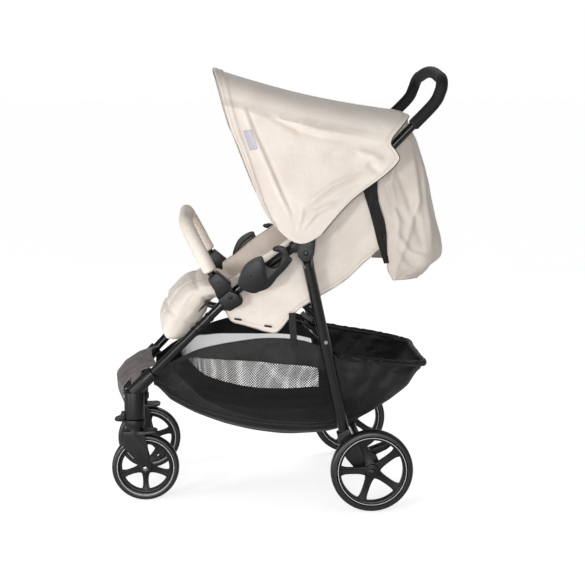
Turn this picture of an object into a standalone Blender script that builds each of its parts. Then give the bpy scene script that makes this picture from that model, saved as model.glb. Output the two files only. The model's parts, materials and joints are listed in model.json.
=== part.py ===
"""Compact pushchair: folding handle, coupled rear legs, swivel castors, canopy, seat and basket.

Metres, +Z up. The front of the pushchair faces -X and its left side faces -Y.
"""
import math

import bpy
import bmesh
from mathutils import Matrix, Vector

# Running clearances
GAP = 0.0003
SLOT_GAP = 0.0006
PIN_GAP = 0.0004

# Wheels
WHEELBASE = 0.521
FRONT_AXLE_X = -0.312
REAR_AXLE_X = FRONT_AXLE_X + WHEELBASE
FRONT_WHEEL_RADIUS = 0.079
REAR_WHEEL_RADIUS = 0.095
FRONT_TRACK = 0.291
REAR_TRACK = 0.542
FRONT_TYRE_WIDTH = 0.026
REAR_TYRE_WIDTH = 0.030
TYRE_WALL = 0.017
RIM_WALL = 0.007
TREAD_FLAT = 0.35
HUB_RADIUS = 0.016
SPOKES = 5
SPOKE_SHARE = 0.185
WHEEL_FACETS = 32
AXLE_RADIUS = 0.004

# Castors
CASTOR_TRAIL = 0.0245
CASTOR_AXIS_X = FRONT_AXLE_X - CASTOR_TRAIL
CASTOR_Y = FRONT_TRACK / 2
CASTOR_BODY_RADIUS = 0.0235
CASTOR_BODY_TOP = FRONT_WHEEL_RADIUS * 2 + 0.104
CASTOR_COLLAR_Z = FRONT_WHEEL_RADIUS * 2 + 0.036
CASTOR_COLLAR_HEIGHT = 0.013
COLLAR_RADIUS = 0.0255
LOCK_HALF_WIDTH = 0.009
LOCK_OUTLINE = ((-0.0475, 0.0005), (-0.042, -0.0035), (-0.0295, -0.0045), (-0.0195, -0.0025), (-0.0195, 0.018),
                (-0.030, 0.018), (-0.0335, 0.009), (-0.044, 0.0045))
LOCK_PIVOT = (CASTOR_AXIS_X - 0.0247, CASTOR_COLLAR_Z + 0.0178)
FORK_HEAD_Z = FRONT_WHEEL_RADIUS * 2 + 0.002
FORK_TOP = ((0.025, 0.003), (-0.026, 0.003), (-0.0295, -0.010), (-0.024, -0.032), (-0.002, -0.056))
FORK_TOE = ((-0.0125, -0.003), (-0.002, -0.0135), (0.010, -0.008), (0.0135, 0.004), (0.0055, 0.039))
FORK_LIP = ((-0.026, 0.0005), (-0.026, 0.008), (0.0265, 0.008), (0.046, 0.0085), (0.0535, 0.005), (0.0455, 0.0015),
            (0.0265, 0.0005))
FORK_BLADE = 0.0045
FORK_BLADE_GAP = 0.0035
CASTOR_PIN_RADIUS = 0.006

# Footrest: its profile runs from the front lip over the nose to the back edge
FOOTREST_PROFILE = ((-0.372, 0.226), (-0.3815, 0.250), (-0.3815, 0.280), (-0.363, 0.300), (-0.336, 0.317),
                    (-0.300, 0.331))
FOOTREST_HALF_WIDTH = 0.119
FOOTREST_BOW = 0.016
FOOTREST_DROP = 0.010
FOOTREST_RIBS = 6
RIB_HEIGHT = 0.0022
FOOTREST_SKIN = 0.0035
FOOTREST_EAR_WALL = 0.005
FOOTREST_BOSS_RADIUS = 0.007
FOOTREST_BOSS_Z = 0.250

# Front legs
LEG_TUBE_RADIUS = 0.0105
LEG_FOOT = (CASTOR_AXIS_X + 0.0025, -CASTOR_Y - 0.0075, CASTOR_BODY_TOP + 0.002)
LEG_KNEE = (-0.086, -0.2075, 0.517)
LEG_TOP = (0.045, -0.2265, 0.6155)
LEG_BEND = 0.045

# Hinge housings: the rear leg turns on the lower pin, the handle on the upper one
REAR_PIVOT = (0.0574, 0.596)
HANDLE_PIVOT = (0.062, 0.640)
HINGE_Y = 0.250
HINGE_CHEEK = 0.0065
TANG_THICKNESS = 0.0188
TANG_RADIUS = 0.0155
CHEEK_RADIUS = 0.0185
HINGE_BOSS = 0.0025
HINGE_RELIEF = 0.0030
HINGE_WEB_HALF = 0.0042
HINGE_PIN_RADIUS = 0.004

# Rear legs and axle
REAR_LEG_RADIUS = 0.013
REAR_LEG_END = (REAR_AXLE_X - 0.055, -REAR_TRACK / 2 + 0.0345, REAR_WHEEL_RADIUS + 0.058)
REAR_FOOT_WIDTH = 0.033
REAR_FOOT_GAP = 0.0035
REAR_FOOT_OUTLINE = ((-0.078, 0.081), (-0.0505, 0.095), (-0.040, 0.071), (-0.013, 0.047), (0.013, 0.031),
                     (0.0235, 0.003), (0.012, -0.015), (-0.009, -0.017), (-0.037, -0.001), (-0.057, 0.023),
                     (-0.070, 0.047))
PEDAL_WIDTH = 0.030
PEDAL_PIVOT = (-0.003, 0.024)
PEDAL_OUTLINE = ((-0.010, 0.017), (0.003, 0.016), (0.0175, 0.024), (0.041, 0.035), (0.053, 0.045), (0.049, 0.051),
                 (0.029, 0.045), (0.005, 0.036), (-0.009, 0.032))
REAR_STUB_RADIUS = 0.0055
AXLE_TUBE_RADIUS = 0.009
AXLE_TUBE_DEPTH = 0.010

# Handle
HANDLE_TUBE_RADIUS = 0.0095
GRIP_RADIUS = 0.0120
HANDLE_HALF_WIDTH_TOP = 0.226
GRIP_START = (0.300, 0.8786)
GRIP_KNEE = (0.3505, 0.930)
GRIP_BEND = (0.3655, 0.960)
GRIP_CROSS = (0.3720, 0.987)
GRIP_ARCH = 0.011
GRIP_HALF_WIDTH = 0.217
GRIP_CORNER = 0.070

# Bumper bar
BUMPER_TUBE_RADIUS = 0.0085
BUMPER_SLEEVE_RADIUS = 0.0165
BUMPER_FOOT = (-0.1475, -0.204, 0.531)
BUMPER_CROSS = (-0.212, 0.656)
BUMPER_CORNER = 0.075
BUMPER_SOCKET_DEPTH = 0.022
SOCKET_OUTER_Y = 0.2285
SOCKET_INNER_Y = 0.1815

# Canopy
CANOPY_SKIN = 0.0022
CANOPY_FRONT_EDGE = ((-0.012, 0.658), (-0.041, 0.706), (-0.089, 0.828), (-0.109, 0.877), (-0.135, 0.971),
                     (-0.144, 1.001))
CANOPY_REAR_EDGE = ((0.094, 0.642), (0.161, 0.716), (0.235, 0.771), (0.2665, 0.804), (0.262, 0.822),
                    (0.2495, 0.849), (0.298, 0.901))
CANOPY_TIP = (0.060, 0.618)
CANOPY_TIP_Y = 0.2745
CANOPY_FRONT_LEAN = 0.150
CANOPY_REAR_LEAN = 0.065
CANOPY_TIP_DIP = 0.030
CANOPY_SAG = 0.012
CANOPY_CROWN = 0.005
CANOPY_CORNER = 0.075
CANOPY_ROWS = 7
BOW_RADIUS = 0.004
BOW_INSET = 0.0077

# Seat
SEAT_RAIL_RADIUS = 0.0075
SEAT_RAIL_Y = 0.1605
SEAT_RAIL_BACK = (0.090, 0.418)
SEAT_RAIL_BEND = 0.022
SEAT_LUG = ((-0.1280, 0.4575), (-0.1170, 0.4740))
SEAT_HALF_WIDTH = 0.163
SEAT_CUSHION_PATH = ((-0.180, 0.5084), (-0.135, 0.4940), (-0.085, 0.4678), (-0.050, 0.4548))
SEAT_CUSHION_DEPTH = 0.036
SIDE_PANEL_STATIONS = (
    (-0.1155, 0.493, 0.4565, 0.1742),
    (-0.089, 0.506, 0.428, 0.1779),
    (-0.050, 0.540, 0.4085, 0.1850),
    (-0.008, 0.568, 0.420, 0.193),
    (0.050, 0.605, 0.459, 0.204),
    (0.095, 0.655, 0.493, 0.208),
    (0.150, 0.708, 0.527, 0.209),
    (0.205, 0.748, 0.577, 0.209),
    (0.2415, 0.690, 0.606, 0.209),
)
BACK_HINGE = (-0.020, 0.437)
BACK_ANGLE = 38.0
BACK_LENGTH = 0.335
BACK_BOARD_HALF = SEAT_RAIL_Y - SEAT_RAIL_RADIUS - GAP
BACK_BOARD_START = 0.004
BACK_BOARD_THICKNESS = 0.006
BACK_CUSHION_DEPTH = 0.038
BACK_CUSHION_REST = 0.0182
BACK_CUSHION_START = 0.016
CALF_HINGE = (-0.163, 0.466)
CALF_END = (-0.252, 0.386)
CALF_BOARD_HALF = 0.128
CALF_BOARD_THICKNESS = 0.005
CALF_CUSHION_HALF = 0.142
CALF_CUSHION_DEPTH = 0.034
CALF_CUSHION_REST = 0.0154

# Rear drape
DRAPE_CROWN = 0.01275

# Basket
BASKET_SKIN = 0.003
BASKET_TUBE_RADIUS = 0.005
BASKET_HOOP_FRONT = 0.060
BASKET_HELD_FROM = 0.140
BASKET_WIDTH = ((-0.290, 0.112), (-0.252, 0.128), (-0.19, 0.150), (-0.12, 0.172), (-0.03, 0.192), (0.06, 0.204),
                (0.14, 0.209), (0.20, 0.206), (0.26, 0.194), (0.305, 0.174), (0.338, 0.138))
BASKET_RIM = ((-0.290, 0.298), (-0.252, 0.322), (-0.19, 0.356), (-0.12, 0.376), (-0.03, 0.390), (0.06, 0.384),
              (0.14, 0.352), (0.20, 0.341), (0.26, 0.333), (0.305, 0.326), (0.338, 0.320))
BASKET_FLOOR = ((-0.290, 0.262), (-0.252, 0.226), (-0.19, 0.194), (-0.12, 0.171), (-0.03, 0.154), (0.06, 0.150),
                (0.14, 0.160), (0.20, 0.192), (0.26, 0.228), (0.305, 0.262), (0.338, 0.298))

COLOURS = {
    "tyre": ((0.020, 0.020, 0.021), 0.45, 0.0),
    "rim": ((0.028, 0.028, 0.029), 0.40, 0.0),
    "plastic": ((0.030, 0.030, 0.031), 0.50, 0.0),
    "grey_plastic": ((0.055, 0.054, 0.053), 0.50, 0.0),
    "frame": ((0.018, 0.018, 0.019), 0.30, 0.6),
    "steel": ((0.62, 0.62, 0.64), 0.30, 1.0),
    "foam": ((0.014, 0.014, 0.014), 0.85, 0.0),
    "cream": ((0.82, 0.76, 0.70), 0.90, 0.0),
    "black_cloth": ((0.020, 0.020, 0.021), 0.90, 0.0),
}

MODEL = "pushchair"
CUTTERS = "pushchair_cutters"


def clear_scene():
    for obj in list(bpy.data.objects):
        bpy.data.objects.remove(obj, do_unlink=True)


def collection(name):
    found = bpy.data.collections.get(name)
    if found is None:
        found = bpy.data.collections.new(name)
        bpy.context.scene.collection.children.link(found)
    return found


def material(key):
    found = bpy.data.materials.get(key)
    if found is None:
        colour, roughness, metallic = COLOURS[key]
        found = bpy.data.materials.new(key)
        found.use_nodes = True
        shader = found.node_tree.nodes["Principled BSDF"]
        shader.inputs["Base Color"].default_value = (*colour, 1.0)
        shader.inputs["Roughness"].default_value = roughness
        shader.inputs["Metallic"].default_value = metallic
    return found


def add(name, data, key=None, cutter=False):
    """Link a new object, as a part with its material or as a cutter."""
    obj = bpy.data.objects.new(name, data)
    collection(CUTTERS if cutter else MODEL).objects.link(obj)
    if cutter:
        obj.hide_render = True
        obj.display_type = "WIRE"
    elif key:
        data.materials.append(material(key))
    return obj


def bake(obj, weld=0.00002):
    """Replace an object's data by its evaluated mesh, in world space, welded and facing out."""
    bpy.context.view_layer.update()
    graph = bpy.context.evaluated_depsgraph_get()
    mesh = bpy.data.meshes.new_from_object(obj.evaluated_get(graph), depsgraph=graph)
    mesh.transform(obj.matrix_world)
    work = bmesh.new()
    work.from_mesh(mesh)
    bmesh.ops.remove_doubles(work, verts=work.verts, dist=weld)
    bmesh.ops.dissolve_degenerate(work, edges=work.edges, dist=weld)
    bmesh.ops.recalc_face_normals(work, faces=work.faces)
    work.to_mesh(mesh)
    work.free()
    name = obj.name
    in_cutters = obj.display_type == "WIRE"
    bpy.data.objects.remove(obj, do_unlink=True)
    return add(name, mesh, cutter=in_cutters)


def set_origin(obj, point):
    """Move an object's origin to a joint's axis and leave its shape where it is."""
    obj.data.transform(Matrix.Translation(-Vector(point)))
    obj.location = point
    return obj


def smooth(obj, angle=40.0):
    obj.data.shade_smooth()
    obj.data.set_sharp_from_angle(angle=math.radians(angle))
    return obj


def bevel(obj, width, segments=2, angle=40.0):
    modifier = obj.modifiers.new("edges", "BEVEL")
    modifier.width = width
    modifier.segments = segments
    modifier.limit_method = "ANGLE"
    modifier.angle_limit = math.radians(angle)
    modifier.harden_normals = False
    return obj


def boolean(obj, tool, operation):
    modifier = obj.modifiers.new(operation.lower(), "BOOLEAN")
    modifier.operation = operation
    modifier.object = tool
    modifier.solver = "EXACT"


def shape(obj, unions=(), cuts=()):
    """Join and cut an object with tools, then keep the resulting solid."""
    for tool in unions:
        boolean(obj, tool, "UNION")
    for tool in cuts:
        boolean(obj, tool, "DIFFERENCE")
    return bake(obj)


def mirror_name(name):
    return name.replace("_left", "_right")


def mirrored(obj):
    """The right-hand copy of a left-hand piece."""
    mesh = obj.data.copy()
    mesh.transform(obj.matrix_world)
    mesh.transform(Matrix.Scale(-1.0, 4, (0.0, 1.0, 0.0)))
    mesh.flip_normals()
    return add(mirror_name(obj.name), mesh)


def paint(obj, key):
    obj.data.materials.clear()
    obj.data.materials.append(material(key))
    return obj


def pair(obj, key, pivot=None):
    """Finish a left-hand piece and its mirrored twin, with origins on their joint's axis."""
    paint(obj, key)
    twin = mirrored(obj)
    smooth(obj)
    smooth(twin)
    if pivot is not None:
        set_origin(obj, pivot)
        set_origin(twin, (pivot[0], -pivot[1], pivot[2]))
    return obj, twin


def arc(centre, radius, start, end, steps):
    """Points of an arc in a plane, angles in degrees."""
    points = []
    for i in range(steps + 1):
        a = math.radians(start + (end - start) * i / steps)
        points.append((centre[0] + radius * math.cos(a), centre[1] + radius * math.sin(a)))
    return points


def rounded(points, radius, steps=3):
    """A closed outline with each corner rounded by an arc, or left sharp where it is too short."""
    count = len(points)
    radii = radius if isinstance(radius, (list, tuple)) else [radius] * count
    result = []
    for i, corner in enumerate(points):
        p = Vector(corner)
        before = Vector(points[i - 1]) - p
        after = Vector(points[(i + 1) % count]) - p
        half = before.angle(after) / 2
        reach = radii[i] / math.tan(half)
        reach = min(reach, 0.45 * before.length, 0.45 * after.length)
        if reach < 1e-5:
            result.append((p.x, p.y))
            continue
        a = p + before.normalized() * reach
        b = p + after.normalized() * reach
        for k in range(steps + 1):
            t = k / steps
            q = a * (1 - t) ** 2 + p * 2 * t * (1 - t) + b * t ** 2
            result.append((q.x, q.y))
    return result


def side_plate(name, outline, y_low, y_high, cutter=False):
    """An outline in the XZ plane, extruded along Y."""
    curve = bpy.data.curves.new(name, "CURVE")
    curve.dimensions = "2D"
    curve.fill_mode = "BOTH"
    curve.extrude = abs(y_high - y_low) / 2
    spline = curve.splines.new("POLY")
    spline.points.add(len(outline) - 1)
    for point, (x, z) in zip(spline.points, outline):
        point.co = (x, z, 0.0, 1.0)
    spline.use_cyclic_u = True
    obj = add(name, curve, cutter=cutter)
    obj.rotation_euler = (math.pi / 2, 0.0, 0.0)
    obj.location = (0.0, (y_low + y_high) / 2, 0.0)
    return bake(obj)


def tube(name, points, radius, sides=12, cutter=False):
    """A round tube along a route, with closed ends."""
    curve = bpy.data.curves.new(name, "CURVE")
    curve.dimensions = "3D"
    curve.bevel_depth = radius
    curve.bevel_resolution = sides // 2 - 2
    curve.use_fill_caps = True
    spline = curve.splines.new("POLY")
    spline.points.add(len(points) - 1)
    for point, place in zip(spline.points, points):
        point.co = (*place, 1.0)
    return bake(add(name, curve, cutter=cutter))


def closed_tube(name, points, radius, sides=12):
    """A round tube along a closed route."""
    curve = bpy.data.curves.new(name, "CURVE")
    curve.dimensions = "3D"
    curve.bevel_depth = radius
    curve.bevel_resolution = sides // 2 - 2
    spline = curve.splines.new("POLY")
    spline.points.add(len(points) - 1)
    for point, place in zip(spline.points, points):
        point.co = (*place, 1.0)
    spline.use_cyclic_u = True
    return bake(add(name, curve))


def rod(name, start, end, radius, sides=16, cutter=False):
    """A straight cylinder between two points."""
    start = Vector(start)
    end = Vector(end)
    mesh = bpy.data.meshes.new(name)
    work = bmesh.new()
    bmesh.ops.create_cone(work, cap_ends=True, segments=sides, radius1=radius, radius2=radius,
                          depth=(end - start).length)
    turn = (end - start).to_track_quat("Z", "Y").to_matrix().to_4x4()
    bmesh.ops.transform(work, matrix=Matrix.Translation((start + end) / 2) @ turn, verts=work.verts)
    work.to_mesh(mesh)
    work.free()
    return add(name, mesh, cutter=cutter)


def block(name, low, high, cutter=False):
    """An axis-aligned box between two corners."""
    mesh = bpy.data.meshes.new(name)
    work = bmesh.new()
    bmesh.ops.create_cube(work, size=1.0)
    size = [b - a for a, b in zip(low, high)]
    middle = [(a + b) / 2 for a, b in zip(low, high)]
    bmesh.ops.scale(work, vec=size, verts=work.verts)
    bmesh.ops.translate(work, vec=middle, verts=work.verts)
    work.to_mesh(mesh)
    work.free()
    return add(name, mesh, cutter=cutter)


def turned(name, profile, centre, segments, phase=0.0, cutter=False):
    """A closed profile of (radius, y) turned about an axis along Y through centre."""
    mesh = bpy.data.meshes.new(name)
    count = len(profile)
    mesh.from_pydata([(r, y, 0.0) for r, y in profile], [(i, (i + 1) % count) for i in range(count)], [])
    obj = add(name, mesh, cutter=cutter)
    screw = obj.modifiers.new("turn", "SCREW")
    screw.axis = "Y"
    screw.angle = math.tau
    screw.steps = segments
    screw.render_steps = segments
    screw.use_merge_vertices = True
    screw.merge_threshold = 0.00001
    obj.rotation_euler = (0.0, math.radians(phase), 0.0)
    obj.location = centre
    return bake(obj)


def loft(name, rings, closed=True, caps=True):
    """A skin through rings of points, one ring a section."""
    mesh = bpy.data.meshes.new(name)
    work = bmesh.new()
    rows = [[work.verts.new(p) for p in ring] for ring in rings]
    count = len(rows[0])
    last = count if closed else count - 1
    for a, b in zip(rows, rows[1:]):
        for i in range(last):
            j = (i + 1) % count
            work.faces.new((a[i], a[j], b[j], b[i]))
    if caps:
        work.faces.new(rows[0])
        work.faces.new(rows[-1])
    bmesh.ops.recalc_face_normals(work, faces=work.faces)
    work.to_mesh(mesh)
    work.free()
    return add(name, mesh)


def skin(name, rows, thickness):
    """An open sheet of rows of points, given a thickness about its middle."""
    obj = loft(name, rows, closed=False, caps=False)
    solid = obj.modifiers.new("skin", "SOLIDIFY")
    solid.thickness = thickness
    solid.offset = 0.0
    solid.use_even_offset = False
    return bake(obj, weld=0.000005)


def spline_through(points, steps):
    """A smooth curve through the points, with an even number of steps a span."""
    pts = [Vector(p) for p in points]
    pts = [pts[0] * 2 - pts[1]] + pts + [pts[-1] * 2 - pts[-2]]
    result = []
    for i in range(1, len(pts) - 2):
        a, b, c, d = pts[i - 1:i + 3]
        for k in range(steps):
            t = k / steps
            result.append(0.5 * ((2 * b) + (c - a) * t + (2 * a - 5 * b + 4 * c - d) * t ** 2
                                 + (3 * b - a - 3 * c + d) * t ** 3))
    result.append(pts[-2])
    return result


def bend_path(points, radius, steps=4):
    """Straight runs joined by bends, as a bent tube is."""
    pts = [Vector(p) for p in points]
    result = [pts[0]]
    for before, corner, after in zip(pts, pts[1:], pts[2:]):
        to_before = before - corner
        to_after = after - corner
        reach = min(radius, 0.49 * to_before.length, 0.49 * to_after.length)
        a = corner + to_before.normalized() * reach
        b = corner + to_after.normalized() * reach
        for k in range(steps + 1):
            t = k / steps
            result.append(a * (1 - t) ** 2 + corner * 2 * t * (1 - t) + b * t ** 2)
    result.append(pts[-1])
    return result


def shifted(outline, x, z):
    """An outline drawn from its own reference point, moved to where that point lies."""
    return [(a + x, b + z) for a, b in outline]


def polar(centre, angle, distance):
    a = math.radians(angle)
    return (centre[0] + distance * math.cos(a), centre[1] + distance * math.sin(a))


def wheel_profile(radius, width, wall, facets):
    """Tyre section: a flat tread between rounded shoulders, and straight inner walls."""
    crown = radius / math.cos(math.pi / facets)
    half = width / 2
    inner = radius - wall
    return [
        (inner, -half * 0.66), (crown - wall * 0.38, -half), (crown - wall * 0.10, -half * 0.80),
        (crown, -half * TREAD_FLAT), (crown, half * TREAD_FLAT), (crown - wall * 0.10, half * 0.80),
        (crown - wall * 0.38, half), (inner, half * 0.66),
    ]


def make_wheel(side, y, x, radius, width, first_spoke, bore, prefix):
    """A tyre and a five-spoke rim round their axle's axis."""
    centre = (x, y, radius)
    spoke_half = radius * SPOKE_SHARE / 2
    phase = 180.0 / WHEEL_FACETS
    tyre = turned(f"{prefix}_tyre_{side}", wheel_profile(radius, width, TYRE_WALL, WHEEL_FACETS),
                  centre, WHEEL_FACETS, phase)
    smooth(paint(tyre, "tyre"), 50.0)
    set_origin(tyre, centre)
    outer = radius - TYRE_WALL - GAP
    half = width * 0.31
    ring = turned(f"{prefix}_rim_{side}", [(outer - RIM_WALL, -half * 0.8), (outer, -half),
                                           (outer, half), (outer - RIM_WALL, half * 0.8)],
                  centre, WHEEL_FACETS, phase)
    tools = [rod("hub_tool", (x, y - width / 2, radius), (x, y + width / 2, radius), HUB_RADIUS, 12, True)]
    for i in range(SPOKES):
        angle = first_spoke + i * 360.0 / SPOKES
        spoke = block("spoke_tool", (HUB_RADIUS * 0.5, -half * 0.8, -spoke_half),
                      (outer - RIM_WALL * 0.4, half * 0.8, spoke_half), True)
        spoke.rotation_euler = (0.0, -math.radians(angle), 0.0)
        spoke.location = centre
        tools.append(spoke)
    hole = rod("bore_tool", (x, y - width, radius), (x, y + width, radius), bore, 12, True)
    rim = shape(ring, tools, [hole])
    smooth(paint(rim, "rim"))
    set_origin(rim, centre)


def make_front_wheels():
    for side, y in (("left", -CASTOR_Y), ("right", CASTOR_Y)):
        first = 270.0 if side == "left" else 90.0
        make_wheel(side, y, FRONT_AXLE_X, FRONT_WHEEL_RADIUS, FRONT_TYRE_WIDTH, first,
                   AXLE_RADIUS + PIN_GAP, "front")


def make_rear_wheels():
    for side, y in (("left", -REAR_TRACK / 2), ("right", REAR_TRACK / 2)):
        make_wheel(side, y, REAR_AXLE_X, REAR_WHEEL_RADIUS, REAR_TYRE_WIDTH, 36.0,
                   REAR_STUB_RADIUS + PIN_GAP, "rear")
        out = -1.0 if y < 0 else 1.0
        face = y + out * (REAR_TYRE_WIDTH / 2 + GAP)
        profile = [(0.0, 0.0), (0.0135, 0.0), (0.0135, out * 0.0035), (0.0105, out * 0.0065),
                   (0.0, out * 0.0075)]
        cap = turned(f"rear_hub_cap_{side}", profile, (REAR_AXLE_X, face, REAR_WHEEL_RADIUS), 24)
        smooth(paint(cap, "grey_plastic"))
        set_origin(cap, (REAR_AXLE_X, face, REAR_WHEEL_RADIUS))


def make_castor_forks():
    """Fork with two tapering blades, a head under the collar and a lip over the wheel."""
    y = -CASTOR_Y
    half = FRONT_TYRE_WIDTH / 2 + FORK_BLADE_GAP
    blade = rounded(shifted(FORK_TOP, CASTOR_AXIS_X, FORK_HEAD_Z)
                    + shifted(FORK_TOE, FRONT_AXLE_X, FRONT_WHEEL_RADIUS), 0.008, 1)
    outer = side_plate("castor_fork_left", blade, y - half - FORK_BLADE, y - half)
    inner = side_plate("blade_tool", blade, y + half, y + half + FORK_BLADE, True)
    head = rod("head_tool", (CASTOR_AXIS_X, y, FORK_HEAD_Z - 0.001), (CASTOR_AXIS_X, y, CASTOR_COLLAR_Z - CASTOR_COLLAR_HEIGHT),
               0.0215, 12, True)
    lip = side_plate("lip_tool", shifted(FORK_LIP, CASTOR_AXIS_X, FORK_HEAD_Z), y - half - FORK_BLADE,
                     y + half + FORK_BLADE, True)
    collar = rod("collar_tool", (CASTOR_AXIS_X, y, CASTOR_COLLAR_Z - CASTOR_COLLAR_HEIGHT - 0.0005),
                 (CASTOR_AXIS_X, y, CASTOR_COLLAR_Z - GAP), COLLAR_RADIUS, 14, True)
    stem = rod("stem_tool", (CASTOR_AXIS_X, y, CASTOR_COLLAR_Z - 0.002), (CASTOR_AXIS_X, y, CASTOR_BODY_TOP - 0.018),
               CASTOR_PIN_RADIUS, 12, True)
    hole = rod("axle_tool", (FRONT_AXLE_X, y - 0.05, FRONT_WHEEL_RADIUS),
               (FRONT_AXLE_X, y + 0.05, FRONT_WHEEL_RADIUS), AXLE_RADIUS + GAP, 12, True)
    fork = shape(outer, [inner, lip, head, collar, stem], [hole])
    pair(fork, "plastic", (CASTOR_AXIS_X, y, CASTOR_COLLAR_Z))
    start = y - half - FORK_BLADE - 0.0022
    end = y + half + FORK_BLADE + 0.0022
    profile = [(0.0, start - 0.0010), (0.0045, start - 0.0006), (0.0058, start), (0.0058, y - half - FORK_BLADE - GAP),
               (AXLE_RADIUS, y - half - FORK_BLADE - GAP), (AXLE_RADIUS, y + half + FORK_BLADE + GAP),
               (0.0058, y + half + FORK_BLADE + GAP), (0.0058, end), (0.0, end)]
    bolt = turned("front_axle_bolt_left", profile, (FRONT_AXLE_X, 0.0, FRONT_WHEEL_RADIUS), 12)
    pair(bolt, "steel", (FRONT_AXLE_X, y, FRONT_WHEEL_RADIUS))


def leg_route():
    return bend_path([LEG_FOOT, LEG_KNEE, LEG_TOP], LEG_BEND, 5)


def make_castor_housings():
    """Upright castor housing with the sleeve that holds the front leg."""
    y = -CASTOR_Y
    body = rod("castor_housing_left", (CASTOR_AXIS_X, y, CASTOR_COLLAR_Z), (CASTOR_AXIS_X, y, CASTOR_BODY_TOP),
               CASTOR_BODY_RADIUS, 20)
    bevel(body, 0.003, 1)
    body = bake(body)
    foot = Vector(LEG_FOOT)
    along = (Vector(LEG_KNEE) - foot).normalized()
    sleeve = rod("sleeve_tool", foot - along * 0.006, foot + along * 0.062, LEG_TUBE_RADIUS + 0.0055, 14, True)
    leg = leg_room("leg_tool")
    bore = rod("pin_tool", (CASTOR_AXIS_X, y, CASTOR_COLLAR_Z - 0.01), (CASTOR_AXIS_X, y, CASTOR_BODY_TOP - 0.018 + GAP),
               CASTOR_PIN_RADIUS + PIN_GAP, 12, True)
    housing = shape(body, [sleeve], [leg, bore])
    pair(housing, "plastic")


def make_swivel_locks():
    """Lever at the front of each castor collar that stops the swivel."""
    y = -CASTOR_Y
    outline = rounded(shifted(LOCK_OUTLINE, CASTOR_AXIS_X, CASTOR_COLLAR_Z), 0.002, 2)
    lever = side_plate("swivel_lock_left", outline, y - LOCK_HALF_WIDTH, y + LOCK_HALF_WIDTH)
    cuts = []
    for radius, top in ((COLLAR_RADIUS + SLOT_GAP, SLOT_GAP), (CASTOR_BODY_RADIUS + GAP, 0.046)):
        cuts.append(rod("room_tool", (CASTOR_AXIS_X, y, CASTOR_COLLAR_Z - 0.024),
                        (CASTOR_AXIS_X, y, CASTOR_COLLAR_Z + top), radius, 24, True))
    lever = shape(lever, [], cuts)
    pair(lever, "plastic", (LOCK_PIVOT[0], y, LOCK_PIVOT[1]))


def footrest_point(u, v, lift):
    """Top of the footrest: u runs from the front lip over the nose to the back, v across."""
    n = len(FOOTREST_PROFILE) - 1
    i = min(int(u * n), n - 1)
    t = u * n - i
    a = Vector(FOOTREST_PROFILE[i])
    b = Vector(FOOTREST_PROFILE[i + 1])
    p = a.lerp(b, t)
    normal = Vector((a.y - b.y, b.x - a.x)).normalized()
    bow = FOOTREST_BOW * v ** 2
    drop = FOOTREST_DROP * v ** 2
    return (p.x + bow + normal.x * lift, v * FOOTREST_HALF_WIDTH, p.y - drop + normal.y * lift)


def make_footrest():
    """Moulded tread between the castor housings, with ribs that run from nose to back."""
    stations = []
    for i in range(FOOTREST_RIBS):
        middle = -0.75 + 1.5 * i / (FOOTREST_RIBS - 1)
        stations += [(middle - 0.080, 0.0), (middle - 0.060, RIB_HEIGHT), (middle + 0.060, RIB_HEIGHT),
                     (middle + 0.080, 0.0)]
    stations = [(-1.0, 0.0)] + stations + [(1.0, 0.0)]
    along = [0.0, 0.20, 0.38, 0.58, 0.80, 1.0]
    rings = []
    for v, lift in stations:
        top = []
        for k, u in enumerate(along):
            rise = lift if 1 < k < len(along) - 1 else 0.0
            top.append(footrest_point(u, v, rise))
        bottom = [footrest_point(u, v, -FOOTREST_SKIN) for u in reversed(along)]
        rings.append(top + bottom)
    tread = shape(loft("footrest", rings), footrest_ears())
    smooth(paint(tread, "grey_plastic"), 35.0)


def footrest_ears():
    """Ears under the footrest's ends, each with a boss that meets its castor housing."""
    outer = FOOTREST_HALF_WIDTH - 0.0015
    middle_skin = -FOOTREST_SKIN / 2
    front = footrest_point(0.62, outer / FOOTREST_HALF_WIDTH, middle_skin)
    back = footrest_point(0.80, outer / FOOTREST_HALF_WIDTH, middle_skin)
    low = FOOTREST_BOSS_Z - FOOTREST_BOSS_RADIUS
    half = FOOTREST_BOSS_RADIUS + 0.001
    outline = [(front[0], front[2]), (back[0], back[2]), (CASTOR_AXIS_X + half, low), (CASTOR_AXIS_X - half, low)]
    seat = CASTOR_Y - CASTOR_BODY_RADIUS - GAP
    tools = []
    for sign in (-1.0, 1.0):
        tools.append(side_plate("ear_tool", outline, sign * outer, sign * (outer - FOOTREST_EAR_WALL), True))
        tools.append(rod("boss_tool", (CASTOR_AXIS_X, sign * (outer - FOOTREST_EAR_WALL / 2), FOOTREST_BOSS_Z),
                         (CASTOR_AXIS_X, sign * seat, FOOTREST_BOSS_Z), FOOTREST_BOSS_RADIUS, 12, True))
    return tools


def leg_room(name):
    """Cutter for the front leg's tube, with its clearance."""
    route = leg_route()
    route[0] += (route[0] - route[1]).normalized() * GAP
    return tube(name, route, LEG_TUBE_RADIUS + GAP, 14, True)


def make_front_legs():
    leg = tube("front_leg_left", leg_route(), LEG_TUBE_RADIUS, 14)
    pair(leg, "frame")


def capsule(first, second, radius, steps=5):
    """Outline round two points at one distance."""
    a = Vector(first)
    b = Vector(second)
    direction = math.degrees(math.atan2(b.y - a.y, b.x - a.x))
    return (arc(b, radius, direction - 90, direction + 90, steps)
            + arc(a, radius, direction + 90, direction + 270, steps))


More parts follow.
